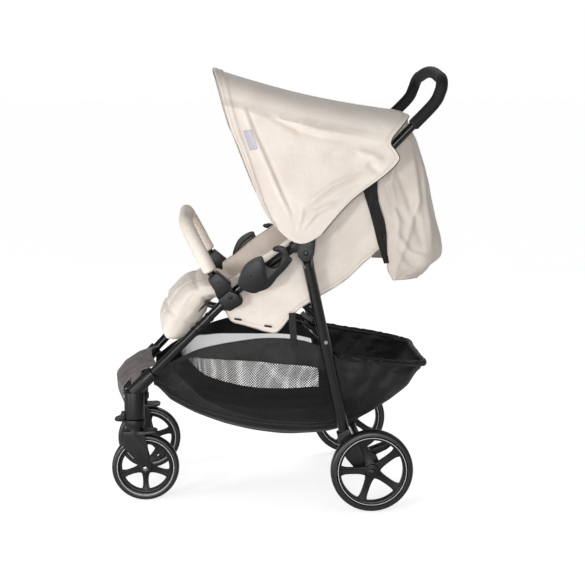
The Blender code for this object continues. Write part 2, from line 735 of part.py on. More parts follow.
def make_hinges():
    """Housing with two cheeks; tangs of the rear leg and of the handle turn between them."""
    slot = TANG_THICKNESS / 2 + SLOT_GAP
    outline = capsule(REAR_PIVOT, HANDLE_PIVOT, CHEEK_RADIUS)
    outer = side_plate("hinge_housing_left", outline, -HINGE_Y - slot - HINGE_CHEEK, -HINGE_Y - slot)
    inner = side_plate("inner_tool", outline, -HINGE_Y + slot, -HINGE_Y + slot + HINGE_CHEEK, True)
    mid = (Vector(REAR_PIVOT) + Vector(HANDLE_PIVOT)) / 2
    web = block("web_tool", (mid.x - CHEEK_RADIUS * 0.95, -HINGE_Y - slot - 0.002, mid.y - HINGE_WEB_HALF),
                (mid.x + CHEEK_RADIUS * 0.95, -HINGE_Y + slot + 0.002, mid.y + HINGE_WEB_HALF), True)
    boss = rod("boss_tool", (REAR_PIVOT[0], -HINGE_Y - slot - HINGE_CHEEK - HINGE_BOSS, REAR_PIVOT[1]),
               (REAR_PIVOT[0], -HINGE_Y - slot - 0.001, REAR_PIVOT[1]), CHEEK_RADIUS - 0.002, 16, True)
    top = Vector(LEG_TOP)
    along = (top - Vector(LEG_KNEE)).normalized()
    socket = rod("socket_tool", top - along * 0.020, top + along * 0.012, LEG_TUBE_RADIUS + 0.0035, 14, True)
    leg = rod("leg_bore_tool", top - along * 0.05, top + along * GAP, LEG_TUBE_RADIUS + GAP, 14, True)
    keep = block("keep_tool", (-0.2, -0.30, 0.4), (0.2, -HINGE_Y + slot + HINGE_RELIEF, 0.8), True)
    boolean(socket, keep, "DIFFERENCE")
    cuts = [leg]
    for x, z in (REAR_PIVOT, HANDLE_PIVOT):
        cuts.append(rod("pin_tool", (x, -0.3, z), (x, -0.2, z), HINGE_PIN_RADIUS + GAP, 12, True))
    housing = shape(outer, [inner, web, boss, socket], cuts)
    pair(housing, "grey_plastic")
    for name, (x, z), boss_height in (("rear_pivot_pin_left", REAR_PIVOT, HINGE_BOSS),
                                      ("handle_pivot_pin_left", HANDLE_PIVOT, 0.0)):
        out = -HINGE_Y - slot - HINGE_CHEEK - boss_height - GAP
        inside = -HINGE_Y + slot + HINGE_CHEEK + GAP
        profile = [(0.0, out - 0.0016), (0.0045, out - 0.0012), (0.006, out), (HINGE_PIN_RADIUS, out),
                   (HINGE_PIN_RADIUS, inside), (0.0055, inside), (0.0055, inside + 0.0012), (0.0, inside + 0.0012)]
        pair(turned(name, profile, (x, 0.0, z), 12), "steel", (x, -HINGE_Y, z))


def make_fold_hooks():
    """Moulded hook on each front leg that catches the handle's tube when the frame is folded."""
    body = rounded([(-0.097, 0.519), (-0.0905, 0.541), (-0.068, 0.5715), (-0.052, 0.5895), (-0.0405, 0.5885),
                    (-0.0295, 0.580), (-0.0225, 0.5745), (-0.010, 0.5735), (-0.0005, 0.5825), (0.0005, 0.593),
                    (-0.006, 0.600), (-0.0175, 0.6025), (-0.008, 0.6085), (0.0025, 0.6105), (0.013, 0.607),
                    (0.018, 0.5935), (0.0225, 0.583), (0.028, 0.577), (-0.0255, 0.522), (-0.0475, 0.504),
                    (-0.0636, 0.5005), (-0.084, 0.5065)],
                   [0.012, 0.012, 0.02, 0.006, 0.006, 0.01, 0.01, 0.01, 0.008, 0.006, 0.004, 0.001, 0.006, 0.008,
                    0.008, 0.01, 0.004, 0.002, 0.02, 0.012, 0.012, 0.01], 2)
    outer = side_plate("fold_hook_left", body, -0.2615, -0.2205)
    bevel(outer, 0.0025, 2, 50.0)
    outer = bake(outer)
    cover = side_plate("cover_tool", rounded([(-0.093, 0.521), (-0.086, 0.540), (-0.065, 0.568), (-0.0515, 0.5845),
                                              (-0.028, 0.5235), (-0.0485, 0.5075), (-0.0636, 0.5045),
                                              (-0.082, 0.510)], 0.006, 2), -0.2635, -0.240, True)
    back = side_plate("back_tool", rounded([(-0.092, 0.517), (-0.060, 0.566), (0.016, 0.592), (0.024, 0.578),
                                            (-0.0255, 0.526), (-0.060, 0.505)], 0.008, 2), -0.223, -0.2050, True)
    route = leg_room("leg_tool")
    hook = shape(outer, [cover, back], [route])
    pair(hook, "plastic")


def make_bumper_sockets():
    """Moulded clamp on each front leg, with the bumper bar's socket and a lug that carries the seat frame."""
    body = rounded([(-0.1635, 0.5306), (-0.1452, 0.5533), (-0.0822, 0.4886), (-0.0993, 0.4634), (-0.1221, 0.4567),
                    (-0.1356, 0.4776), (-0.1469, 0.4869), (-0.1512, 0.5122)],
                   [0.002, 0.002, 0.012, 0.012, 0.010, 0.006, 0.010, 0.02], 1)
    socket = side_plate("bumper_socket_left", body, -SOCKET_OUTER_Y, -SOCKET_INNER_Y)
    bevel(socket, 0.002, 1, 50.0)
    socket = bake(socket)
    route = leg_room("leg_tool")
    foot = Vector(BUMPER_FOOT)
    up = bumper_direction()
    hole = rod("bar_tool", foot - up * (BUMPER_SOCKET_DEPTH + GAP), foot + up * 0.06,
               BUMPER_TUBE_RADIUS + GAP, 16, True)
    button = Vector((-0.113, -SOCKET_OUTER_Y, 0.494))
    recess = rod("button_tool", button + Vector((0, -0.01, 0)), button + Vector((0, 0.0045, 0)), 0.0065 + GAP, 16, True)
    (lug_front, lug_low), (lug_back, lug_high) = SEAT_LUG
    lug = block("lug_tool", (lug_front, -SOCKET_INNER_Y - 0.004, lug_low),
                (lug_back, -SEAT_RAIL_Y - SEAT_RAIL_RADIUS - GAP, lug_high), True)
    socket = shape(socket, [lug], [route, hole, recess])
    pair(socket, "plastic")
    cap = rod("bumper_button_left", button + Vector((0, -0.0022, 0)), button + Vector((0, 0.0045 - 0.0028, 0)),
              0.0065, 16)
    pair(cap, "grey_plastic", tuple(button))


def bumper_direction():
    """Direction of the bumper bar's arms, up from their sockets."""
    return Vector((BUMPER_CROSS[0] - BUMPER_FOOT[0], 0.0, BUMPER_CROSS[1] - BUMPER_FOOT[2])).normalized()


def bumper_route():
    """Centre line of the bumper bar from its left socket over the cross part to the right one."""
    foot = Vector(BUMPER_FOOT)
    up = bumper_direction()
    start = foot - up * BUMPER_SOCKET_DEPTH
    corner = Vector((BUMPER_CROSS[0], BUMPER_FOOT[1], BUMPER_CROSS[1]))
    half = [start, foot + up * 0.02]
    turn = []
    for k in range(6):
        a = math.radians(90.0 * k / 5)
        side = BUMPER_FOOT[1] + BUMPER_CORNER * (1 - math.cos(a))
        drop = BUMPER_CORNER * (1 - math.sin(a))
        place = corner - up * drop
        turn.append(Vector((place.x, side, place.z)))
    half += turn
    other = [Vector((p.x, -p.y, p.z)) for p in reversed(half)]
    return half + other


def make_bumper():
    """Steel hoop that plugs into the sockets, inside a padded sleeve."""
    route = bumper_route()
    bar = tube("bumper_bar", route, BUMPER_TUBE_RADIUS, 10)
    smooth(paint(bar, "frame"))
    set_origin(bar, (BUMPER_FOOT[0], 0.0, BUMPER_FOOT[2]))
    foot = route[1]
    up = (route[2] - route[1]).normalized()
    first = foot + up * 0.004
    last = Vector((first.x, -first.y, first.z))
    middle = [first] + route[2:-2] + [last]
    sleeve = tube("sleeve_skin", middle, BUMPER_SLEEVE_RADIUS, 10)
    hole = tube("bar_room_tool", route, BUMPER_TUBE_RADIUS + GAP, 10, True)
    sleeve.name = "bumper_sleeve"
    sleeve = shape(sleeve, [], [hole])
    smooth(paint(sleeve, "cream"))
    set_origin(sleeve, (BUMPER_FOOT[0], 0.0, BUMPER_FOOT[2]))


def handle_route():
    """Centre line of the handle from its left pivot over the cross part to the right pivot."""
    start = Vector((HANDLE_PIVOT[0], -HINGE_Y, HANDLE_PIVOT[1]))
    grip = Vector((GRIP_START[0], -HANDLE_HALF_WIDTH_TOP, GRIP_START[1]))
    begin = start + (grip - start).normalized() * (TANG_RADIUS + 0.0105)
    knee = Vector((GRIP_KNEE[0], -GRIP_HALF_WIDTH - 0.002, GRIP_KNEE[1]))
    bend = Vector((GRIP_BEND[0], -GRIP_HALF_WIDTH, GRIP_BEND[1]))
    path = [begin] + spline_through([grip, knee, bend], 2)
    turn = []
    for k in range(1, 5):
        a = math.radians(90.0 * k / 4)
        y = -GRIP_HALF_WIDTH + GRIP_CORNER * (1 - math.cos(a))
        rise = math.sin(a)
        turn.append(Vector((GRIP_BEND[0] + (GRIP_CROSS[0] - GRIP_BEND[0]) * rise, y,
                            GRIP_BEND[1] + (GRIP_CROSS[1] - GRIP_BEND[1]) * rise)))
    half = path + turn
    middle = Vector((GRIP_CROSS[0] + GRIP_ARCH * 0.15, 0.0, GRIP_CROSS[1] + GRIP_ARCH))
    half.append(half[-1].lerp(middle, 0.5) + Vector((0.0, 0.0, GRIP_ARCH * 0.25)))
    return half + [middle] + [Vector((p.x, -p.y, p.z)) for p in reversed(half)]


def handle_tang(name, cutter):
    """Flat end of the handle's tube, turning in the hinge housing."""
    direction = math.degrees(math.atan2(GRIP_START[1] - HANDLE_PIVOT[1], GRIP_START[0] - HANDLE_PIVOT[0]))
    centre = Vector(HANDLE_PIVOT)
    out = Vector(polar(HANDLE_PIVOT, direction, TANG_RADIUS + 0.018))
    side = Vector((-math.sin(math.radians(direction)), math.cos(math.radians(direction))))
    outline = arc(centre, TANG_RADIUS, direction + 75, direction + 285, 12)
    outline += [tuple(out - side * 0.0092), tuple(out + side * 0.0092)]
    return side_plate(name, outline, -HINGE_Y - TANG_THICKNESS / 2, -HINGE_Y + TANG_THICKNESS / 2, cutter)


def make_handle():
    """Handle tube with a tang at each end, and its foam grip."""
    route = handle_route()
    bar = tube("push_bar", route, HANDLE_TUBE_RADIUS, 10)
    left = handle_tang("tang_tool", True)
    right = handle_tang("tang_tool", True)
    right.data.transform(Matrix.Scale(-1.0, 4, (0.0, 1.0, 0.0)))
    right.data.flip_normals()
    hole = rod("pin_tool", (HANDLE_PIVOT[0], -0.3, HANDLE_PIVOT[1]), (HANDLE_PIVOT[0], 0.3, HANDLE_PIVOT[1]),
               HINGE_PIN_RADIUS + GAP, 12, True)
    bar = shape(bar, [left, right], [hole])
    smooth(paint(bar, "frame"))
    set_origin(bar, (HANDLE_PIVOT[0], 0.0, HANDLE_PIVOT[1]))
    first = next(i for i, p in enumerate(route) if p.x >= GRIP_START[0] - 1e-6)
    grip = tube("handle_grip", route[first:len(route) - first], GRIP_RADIUS, 10)
    room = tube("bar_room_tool", route[first - 1:len(route) - first + 1], HANDLE_TUBE_RADIUS + GAP, 10, True)
    grip = shape(grip, [], [room])
    smooth(paint(grip, "foam"))
    set_origin(grip, (HANDLE_PIVOT[0], 0.0, HANDLE_PIVOT[1]))


def rear_leg_top():
    """Start of the rear leg's round tube, below its tang."""
    pivot = Vector((REAR_PIVOT[0], -HINGE_Y, REAR_PIVOT[1]))
    end = Vector(REAR_LEG_END)
    return pivot + (end - pivot).normalized() * (CHEEK_RADIUS + 0.004)


def make_rear_legs():
    """Rear leg tube with the tang that turns on the lower hinge pin."""
    top = rear_leg_top()
    end = Vector(REAR_LEG_END)
    leg = rod("rear_leg_left", top, end, REAR_LEG_RADIUS, 14)
    direction = math.degrees(math.atan2(end.z - REAR_PIVOT[1], end.x - REAR_PIVOT[0]))
    out = Vector(polar(REAR_PIVOT, direction, CHEEK_RADIUS + 0.016))
    side = Vector((-math.sin(math.radians(direction)), math.cos(math.radians(direction))))
    outline = arc(Vector(REAR_PIVOT), TANG_RADIUS, direction + 80, direction + 280, 12)
    outline += [tuple(out - side * 0.0115), tuple(out + side * 0.0115)]
    tang = side_plate("tang_tool", outline, -HINGE_Y - TANG_THICKNESS / 2, -HINGE_Y + TANG_THICKNESS / 2, True)
    hole = rod("pin_tool", (REAR_PIVOT[0], -0.3, REAR_PIVOT[1]), (REAR_PIVOT[0], -0.2, REAR_PIVOT[1]),
               HINGE_PIN_RADIUS + GAP, 12, True)
    leg = shape(leg, [tang], [hole])
    pair(leg, "frame", (REAR_PIVOT[0], -HINGE_Y, REAR_PIVOT[1]))


def make_rear_feet():
    """Moulded foot that joins the rear leg's tube to the axle, with the brake inside."""
    y_out = -REAR_TRACK / 2 + REAR_TYRE_WIDTH / 2 + REAR_FOOT_GAP
    outline = rounded(shifted(REAR_FOOT_OUTLINE, REAR_AXLE_X, REAR_WHEEL_RADIUS),
                      [0.002, 0.002, 0.02, 0.02, 0.02, 0.015, 0.012, 0.012, 0.02, 0.02, 0.02], 1)
    foot = side_plate("rear_foot_left", outline, y_out, y_out + REAR_FOOT_WIDTH)
    bevel(foot, 0.002, 1, 50.0)
    foot = bake(foot)
    top = rear_leg_top()
    end = Vector(REAR_LEG_END)
    socket = rod("leg_tool", top, end + (end - top).normalized() * GAP, REAR_LEG_RADIUS + GAP, 14, True)
    wheel_out = -REAR_TRACK / 2 - REAR_TYRE_WIDTH / 2
    stub = rod("stub_tool", (REAR_AXLE_X, wheel_out + 0.001, REAR_WHEEL_RADIUS),
               (REAR_AXLE_X, y_out + 0.004, REAR_WHEEL_RADIUS), REAR_STUB_RADIUS, 12, True)
    half = -y_out - AXLE_TUBE_DEPTH
    tube_room = rod("axle_tool", (REAR_AXLE_X, -half, REAR_WHEEL_RADIUS), (REAR_AXLE_X, 0.0, REAR_WHEEL_RADIUS),
                    AXLE_TUBE_RADIUS + GAP, 12, True)
    foot = shape(foot, [stub], [socket, tube_room])
    pair(foot, "plastic")
    axle = rod("rear_axle_tube", (REAR_AXLE_X, -half + GAP, REAR_WHEEL_RADIUS),
               (REAR_AXLE_X, half - GAP, REAR_WHEEL_RADIUS), AXLE_TUBE_RADIUS, 12)
    smooth(paint(axle, "frame"))


def make_brake_pedals():
    """Foot pedal behind each rear foot."""
    y = -REAR_TRACK / 2 + REAR_TYRE_WIDTH / 2 + REAR_FOOT_GAP + REAR_FOOT_WIDTH + GAP
    outline = rounded(shifted(PEDAL_OUTLINE, REAR_AXLE_X, REAR_WHEEL_RADIUS),
                      [0.004, 0.004, 0.01, 0.01, 0.004, 0.004, 0.01, 0.01, 0.004], 1)
    pedal = side_plate("brake_pedal_left", outline, y, y + PEDAL_WIDTH)
    bevel(pedal, 0.0015, 1, 50.0)
    pedal = bake(pedal)
    pair(pedal, "plastic", (REAR_AXLE_X + PEDAL_PIVOT[0], y, REAR_WHEEL_RADIUS + PEDAL_PIVOT[1]))


def offset_outline(points, distance):
    """Open outline moved outwards, to the left of its direction turned round, with mitred corners."""
    pts = [Vector(p) for p in points]
    normals = []
    for a, b in zip(pts, pts[1:]):
        step = (b - a).normalized()
        normals.append(Vector((-step.y, step.x)))
    result = [pts[0] + normals[0] * distance]
    for p, before, after in zip(pts[1:], normals, normals[1:]):
        middle = (before + after).normalized()
        result.append(p + middle * (distance / middle.dot(before)))
    result.append(pts[-1] + normals[-1] * distance)
    return result


def make_basket_frame():
    """Wire hoop that carries the back of the basket, from one side of the seat frame to the other."""
    share = (BASKET_HOOP_FRONT - CALF_HINGE[0]) / (SEAT_RAIL_BACK[0] - CALF_HINGE[0])
    seat_z = CALF_HINGE[1] + (SEAT_RAIL_BACK[1] - CALF_HINGE[1]) * share
    seat_y = -SEAT_RAIL_Y - SEAT_RAIL_RADIUS - GAP
    points = [Vector((BASKET_HOOP_FRONT, seat_y, seat_z)), Vector((BASKET_HOOP_FRONT, seat_y - 0.014, seat_z)),
              Vector((BASKET_HOOP_FRONT + 0.022, seat_y - 0.044, seat_z - 0.020))]
    held = [(x, width, rim) for (x, width), (_, rim) in zip(BASKET_WIDTH, BASKET_RIM) if x >= BASKET_HELD_FROM]
    end = held[-1]
    outline = [(x, width) for x, width, _ in held] + [(end[0], end[1] / 2)]
    heights = [rim for _, _, rim in held] + [end[2]]
    for place, z in zip(offset_outline(outline, BASKET_SKIN / 2 + GAP + BASKET_TUBE_RADIUS), heights):
        points.append(Vector((place.x, -place.y, z - 0.001)))
    half = [points[0]] + spline_through(points[1:], 2)
    route = half + [Vector((p.x, -p.y, p.z)) for p in reversed(half)]
    wire = tube("basket_frame", route, BASKET_TUBE_RADIUS, 8)
    smooth(paint(wire, "frame"))


def interpolate(table, x):
    """Straight-line value between the table's stations."""
    for (x0, v0), (x1, v1) in zip(table, table[1:]):
        if x <= x1:
            return v0 + (v1 - v0) * max(0.0, (x - x0) / (x1 - x0))
    return table[-1][1]


def make_basket():
    """Fabric tub under the seat, open at the top."""
    rows = []
    for (x, width), (_, rim), (_, floor) in zip(BASKET_WIDTH, BASKET_RIM, BASKET_FLOOR):
        row = []
        for side in (-1.0, 1.0):
            wall = [(width, rim), (width * 1.01, rim * 0.7 + floor * 0.3), (width * 0.97, rim * 0.35 + floor * 0.65),
                    (width * 0.86, rim * 0.08 + floor * 0.92), (width * 0.62, floor)]
            points = [(x, side * w, z) for w, z in wall]
            row += points if side < 0 else points[::-1]
        rows.append(row)
    basket = skin("basket", rows, BASKET_SKIN)
    smooth(paint(basket, "black_cloth"), 60.0)


def canopy_side_y(t, p):
    """Half width of the canopy's side at a point of the side view."""
    lean = CANOPY_FRONT_LEAN + (CANOPY_REAR_LEAN - CANOPY_FRONT_LEAN) * t
    return CANOPY_TIP_Y - lean * (p - Vector(CANOPY_TIP)).length


def along(points, share):
    """Point at a share of the length of a polyline."""
    pts = [Vector(p) for p in points]
    lengths = [(b - a).length for a, b in zip(pts, pts[1:])]
    rest = share * sum(lengths)
    for a, b, length in zip(pts, pts[1:], lengths):
        if rest <= length:
            return a.lerp(b, rest / length)
        rest -= length
    return pts[-1]


def canopy_point(t, s):
    """Side view of the canopy: t runs from its front edge to its rear edge, s from the tip up."""
    p = along(CANOPY_FRONT_EDGE, s).lerp(along(CANOPY_REAR_EDGE, s), t)
    swell = math.sin(math.pi * t)
    p.y -= CANOPY_TIP_DIP * swell * (1 - s) ** 3 + CANOPY_SAG * swell * s ** 4
    return p


def make_canopy():
    """Canopy skin: two sides that meet the hinges in a tip, and a sagging roof between them."""
    shoulder = 1.0 - CANOPY_CORNER / 0.36
    rows = []
    for i in range(CANOPY_ROWS + 1):
        t = i / CANOPY_ROWS
        half = []
        for k in range(6):
            p = canopy_point(t, shoulder * (k / 5) ** 0.9)
            half.append(Vector((p.x, -canopy_side_y(t, p), p.y)))
        top = canopy_point(t, 1.0)
        y_top = canopy_side_y(t, top)
        for k in range(1, 5):
            a = math.radians(90.0 * k / 4)
            p = canopy_point(t, shoulder + (1.0 - shoulder) * math.sin(a))
            half.append(Vector((p.x, -y_top + CANOPY_CORNER * (1 - math.cos(a)), p.y)))
        for s in (0.4, 0.8):
            y = (-y_top + CANOPY_CORNER) * (1 - s)
            half.append(Vector((top.x, y, top.y + CANOPY_CROWN * (1 - (1 - s) ** 2))))
        rows.append(half + [Vector((p.x, -p.y, p.z)) for p in reversed(half)])
    canopy = skin("canopy_fabric", rows, CANOPY_SKIN)
    smooth(paint(canopy, "cream"), 50.0)


def make_canopy_bow():
    """Wire bow along the canopy's front edge, on a hub at each handle pivot."""
    hub_y = HINGE_Y - TANG_THICKNESS / 2 - SLOT_GAP - HINGE_CHEEK - GAP
    pivot = Vector((HANDLE_PIVOT[0], -hub_y + 0.004, HANDLE_PIVOT[1]))
    top = Vector(CANOPY_FRONT_EDGE[-1]) - Vector(HANDLE_PIVOT)
    reach = top.length - BOW_INSET
    direction = Vector((top.x, 0.0, top.y)).normalized()
    top_y = canopy_side_y(0.0, Vector(CANOPY_FRONT_EDGE[-1])) - BOW_INSET
    corner = CANOPY_CORNER
    base = pivot + direction * 0.009
    side = pivot + direction * (reach - corner)
    side.y = -top_y
    half = [base, base.lerp(side, 0.5), side]
    for k in range(1, 5):
        a = math.radians(90.0 * k / 4)
        p = pivot + direction * (reach - corner + corner * math.sin(a))
        half.append(Vector((p.x, -top_y + corner * (1 - math.cos(a)), p.z)))
    route = half + [Vector((p.x, -p.y, p.z)) for p in reversed(half)]
    bow = tube("canopy_bow", route, BOW_RADIUS, 8)
    hubs = []
    for sign in (-1.0, 1.0):
        hubs.append(rod("hub_tool", (HANDLE_PIVOT[0], sign * hub_y, HANDLE_PIVOT[1]),
                        (HANDLE_PIVOT[0], sign * (hub_y - 0.009), HANDLE_PIVOT[1]), 0.0125, 14, True))
    bores = [rod("pin_tool", (HANDLE_PIVOT[0], -hub_y - 0.01, HANDLE_PIVOT[1]), (HANDLE_PIVOT[0], -hub_y + 0.0022, HANDLE_PIVOT[1]),
                 0.0062, 12, True),
             rod("pin_tool", (HANDLE_PIVOT[0], hub_y + 0.01, HANDLE_PIVOT[1]), (HANDLE_PIVOT[0], hub_y - 0.0022, HANDLE_PIVOT[1]),
                 0.0062, 12, True)]
    bow = shape(bow, hubs, bores)
    smooth(paint(bow, "frame"))
    set_origin(bow, (HANDLE_PIVOT[0], 0.0, HANDLE_PIVOT[1]))


def make_rear_drape():
    """Cloth that hangs behind the backrest and wraps round its sides."""
    rows = []
    levels = [(0.892, 0.262, 0.296, 0.200), (0.84, 0.256, 0.319, 0.210), (0.76, 0.248, 0.342, 0.214),
              (0.67, SIDE_PANEL_STATIONS[-1][0] + GAP, 0.360, 0.214), (0.59, 0.262, 0.377, 0.212), (0.555, 0.258, 0.361, 0.210),
              (0.527, 0.266, 0.330, 0.204)]
    for z, x_side, x_back, half in levels:
        corner = 0.052
        row = [Vector((x_side, -half, z)), Vector(((x_side + x_back - corner) / 2, -half - 0.003, z))]
        for k in range(5):
            a = math.radians(90.0 * k / 4)
            row.append(Vector((x_back - corner + corner * math.sin(a), -half + corner * (1 - math.cos(a)), z)))
        row.append(Vector((x_back + DRAPE_CROWN * 0.75, -half * 0.40, z)))
        row.append(Vector((x_back + DRAPE_CROWN, -half * 0.10, z)))
        rows.append(row + [Vector((p.x, -p.y, p.z)) for p in reversed(row)])
    drape = skin("rear_drape", rows, 0.0025)
    smooth(paint(drape, "cream"), 60.0)


def pad(name, path, half_width, thickness, key, segments=20, power=0.45, ends=3.0, channels=()):
    """A crowned pad along a path of (x, z), with drawn-in ends and sewn channels."""
    points = [Vector(p) for p in path]
    rings = []
    last = len(points) - 1
    for i, point in enumerate(points):
        s = i / last
        before = points[max(i - 1, 0)]
        after = points[min(i + 1, last)]
        along = (after - before).normalized()
        normal = Vector((-along.y, along.x))
        taper = (1.0 - abs(2 * s - 1) ** ends) ** 0.5
        taper = max(taper, 0.30)
        dip = 1.0
        for c in channels:
            dip -= 0.28 * math.exp(-((s - c) * last * 1.3) ** 2)
        width = half_width * (0.93 + 0.07 * taper)
        ring = []
        for k in range(segments):
            a = math.tau * k / segments
            c = math.cos(a)
            d = math.sin(a)
            y = width * math.copysign(abs(c) ** power, c)
            crown = 0.72 + 0.28 * (1 - abs(c)) ** 0.7
            n = 0.5 * thickness * taper * dip * crown * math.copysign(abs(d) ** 0.6, d)
            ring.append((point.x + normal.x * n, y, point.y + normal.y * n))
        rings.append(ring)
    obj = loft(name, rings)
    return smooth(paint(obj, key), 60.0)


def line_points(start, end, count):
    a = Vector(start)
    b = Vector(end)
    return [a.lerp(b, i / (count - 1)) for i in range(count)]


def seat_frame_route():
    """Ring of tube under the seat: its front cross part is the calf rest's hinge axis."""
    front = Vector((CALF_HINGE[0], -SEAT_RAIL_Y, CALF_HINGE[1]))
    back = Vector((SEAT_RAIL_BACK[0], -SEAT_RAIL_Y, SEAT_RAIL_BACK[1]))
    corner = Vector((back.x + 0.016, -SEAT_RAIL_Y + 0.030, back.z - 0.003))
    middle_front = Vector((front.x, 0.0, front.z))
    middle_back = Vector((corner.x, 0.0, corner.z))
    half = bend_path([middle_front, front, back, corner, middle_back], SEAT_RAIL_BEND, 2)
    return half[:-1] + [Vector((p.x, -p.y, p.z)) for p in reversed(half[1:])]


def make_seat():
    """Seat base between the front legs, with its tube frame, cushion and side panels."""
    rail = closed_tube("seat_frame", seat_frame_route(), SEAT_RAIL_RADIUS, 10)
    smooth(paint(rail, "frame"))
    path = spline_through(SEAT_CUSHION_PATH, 3)
    cushion = pad("seat_cushion", path, SEAT_HALF_WIDTH, SEAT_CUSHION_DEPTH, "cream", 18, channels=(0.5,))
    rows = []
    for x, top, bottom, y in SIDE_PANEL_STATIONS:
        rows.append([(x, -y - 0.003 * math.sin(math.pi * k / 4), bottom + (top - bottom) * k / 4) for k in range(5)])
    panel = skin("side_panel_left", rows, 0.002)
    pair(panel, "cream")


def make_backrest():
    """Reclining back: a stiff board and its padded cover."""
    direction = math.radians(BACK_ANGLE)
    along = Vector((math.cos(direction), math.sin(direction)))
    normal = Vector((-along.y, along.x))
    hinge = Vector(BACK_HINGE)
    start = hinge + along * BACK_BOARD_START
    end = hinge + along * BACK_LENGTH
    half = BACK_BOARD_THICKNESS / 2
    board = [tuple(start - normal * half), tuple(end - normal * half), tuple(end + normal * half),
             tuple(start + normal * half)]
    plate = side_plate("backrest_board", board, -BACK_BOARD_HALF, BACK_BOARD_HALF)
    smooth(paint(plate, "black_cloth"))
    set_origin(plate, (hinge.x, 0.0, hinge.y))
    lift = normal * (BACK_BOARD_THICKNESS / 2 + GAP + BACK_CUSHION_REST)
    path = line_points(hinge + lift + along * BACK_CUSHION_START, end + lift, 12)
    cushion = pad("backrest_cushion", path, SEAT_HALF_WIDTH, BACK_CUSHION_DEPTH, "cream", 18,
                  channels=(0.30, 0.62))
    set_origin(cushion, (hinge.x, 0.0, hinge.y))


def make_calf_rest():
    """Padded calf rest hanging from the front tube of the seat's frame."""
    hinge = Vector(CALF_HINGE)
    end = Vector(CALF_END)
    along = (end - hinge).normalized()
    normal = Vector((along.y, -along.x))
    start = hinge + along * (SEAT_RAIL_RADIUS + GAP)
    half = CALF_BOARD_THICKNESS / 2
    board = [tuple(start - normal * half), tuple(end - normal * half), tuple(end + normal * half),
             tuple(start + normal * half)]
    plate = side_plate("calf_board", board, -CALF_BOARD_HALF, CALF_BOARD_HALF)
    smooth(paint(plate, "black_cloth"))
    set_origin(plate, (hinge.x, 0.0, hinge.y))
    lift = normal * (half + GAP + CALF_CUSHION_REST)
    path = line_points(hinge + along * 0.012 + lift, end + lift + along * 0.006, 9)
    cushion = pad("calf_cushion", path, CALF_CUSHION_HALF, CALF_CUSHION_DEPTH, "cream", 18, channels=(0.5,))
    set_origin(cushion, (hinge.x, 0.0, hinge.y))


def main():
    clear_scene()
    make_front_wheels()
    make_rear_wheels()
    make_castor_forks()
    make_castor_housings()
    make_swivel_locks()
    make_footrest()
    make_front_legs()
    make_hinges()
    make_fold_hooks()
    make_bumper_sockets()
    make_bumper()
    make_handle()
    make_rear_legs()
    make_rear_feet()
    make_brake_pedals()
    make_basket_frame()
    make_basket()
    make_canopy()
    make_canopy_bow()
    make_rear_drape()
    make_seat()
    make_backrest()
    make_calf_rest()


main()
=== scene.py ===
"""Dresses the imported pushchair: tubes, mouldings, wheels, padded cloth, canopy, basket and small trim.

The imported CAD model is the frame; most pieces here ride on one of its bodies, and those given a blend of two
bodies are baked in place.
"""
import json
import math

import bmesh
import bpy
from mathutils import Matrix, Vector, kdtree, noise

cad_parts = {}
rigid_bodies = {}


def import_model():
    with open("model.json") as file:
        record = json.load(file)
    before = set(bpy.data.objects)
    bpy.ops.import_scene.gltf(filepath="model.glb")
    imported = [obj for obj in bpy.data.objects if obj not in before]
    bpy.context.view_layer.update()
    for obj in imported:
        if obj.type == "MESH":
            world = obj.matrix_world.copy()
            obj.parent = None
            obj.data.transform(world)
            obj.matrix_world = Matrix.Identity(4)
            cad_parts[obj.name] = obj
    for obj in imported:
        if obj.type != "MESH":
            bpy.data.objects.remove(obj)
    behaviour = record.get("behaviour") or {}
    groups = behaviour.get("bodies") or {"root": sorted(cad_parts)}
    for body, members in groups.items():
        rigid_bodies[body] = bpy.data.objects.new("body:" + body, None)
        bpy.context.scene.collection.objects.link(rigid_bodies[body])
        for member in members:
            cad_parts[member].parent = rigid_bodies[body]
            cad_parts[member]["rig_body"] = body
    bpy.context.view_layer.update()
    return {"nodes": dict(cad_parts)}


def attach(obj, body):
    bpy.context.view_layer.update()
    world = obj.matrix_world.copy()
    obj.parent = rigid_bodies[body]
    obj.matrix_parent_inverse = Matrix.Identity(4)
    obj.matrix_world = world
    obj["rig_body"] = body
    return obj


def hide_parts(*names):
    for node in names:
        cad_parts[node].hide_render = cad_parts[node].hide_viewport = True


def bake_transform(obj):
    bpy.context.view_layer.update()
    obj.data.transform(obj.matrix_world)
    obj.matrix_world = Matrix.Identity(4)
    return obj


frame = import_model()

bl_info = {
    "name": "Pushchair dressing",
    "version": (1, 0, 0),
    "blender": (4, 5, 0),
    "location": "View3D > Sidebar > Pushchair",
    "description": "Builds the looks of a pushchair round its packed CAD frame",
    "category": "Object",
}

# Places and sizes of the CAD model, in metres
FRONT_WHEEL = {"radius": 0.079, "width": 0.026, "x": -0.312, "y": 0.1455, "lip": 0.004, "well": 0.7,
               "stripe": 0.84}
REAR_WHEEL = {"radius": 0.095, "width": 0.03, "x": 0.209, "y": 0.271, "lip": 0.0012, "well": 0.755,
              "stripe": 0.826}
TYRE_WALL = 0.017
HUB_RADIUS = 0.0165
SPOKES = 5
HANDLE_PIVOT = (0.062, 0.64)
HINGE_Y = 0.25
TUBE_RADII = {"push_bar": 0.0095, "bumper_bar": 0.0085, "front_leg": 0.0105}
LEG_FOOT = (-0.334, -0.153, 0.264)
LEG_KNEE = (-0.086, -0.2075, 0.517)
LEG_TOP = (0.045, -0.2265, 0.6155)
GRIP_START = (0.3, -0.226, 0.8786)
GRIP_KNEE = (0.3505, -0.219, 0.93)
GRIP_BEND = (0.3655, -0.217, 0.96)
GRIP_CROSS = (0.372, 0.987)
GRIP_ARCH = 0.011
GRIP_CORNER = 0.07
GRIP_RADIUS = 0.0098
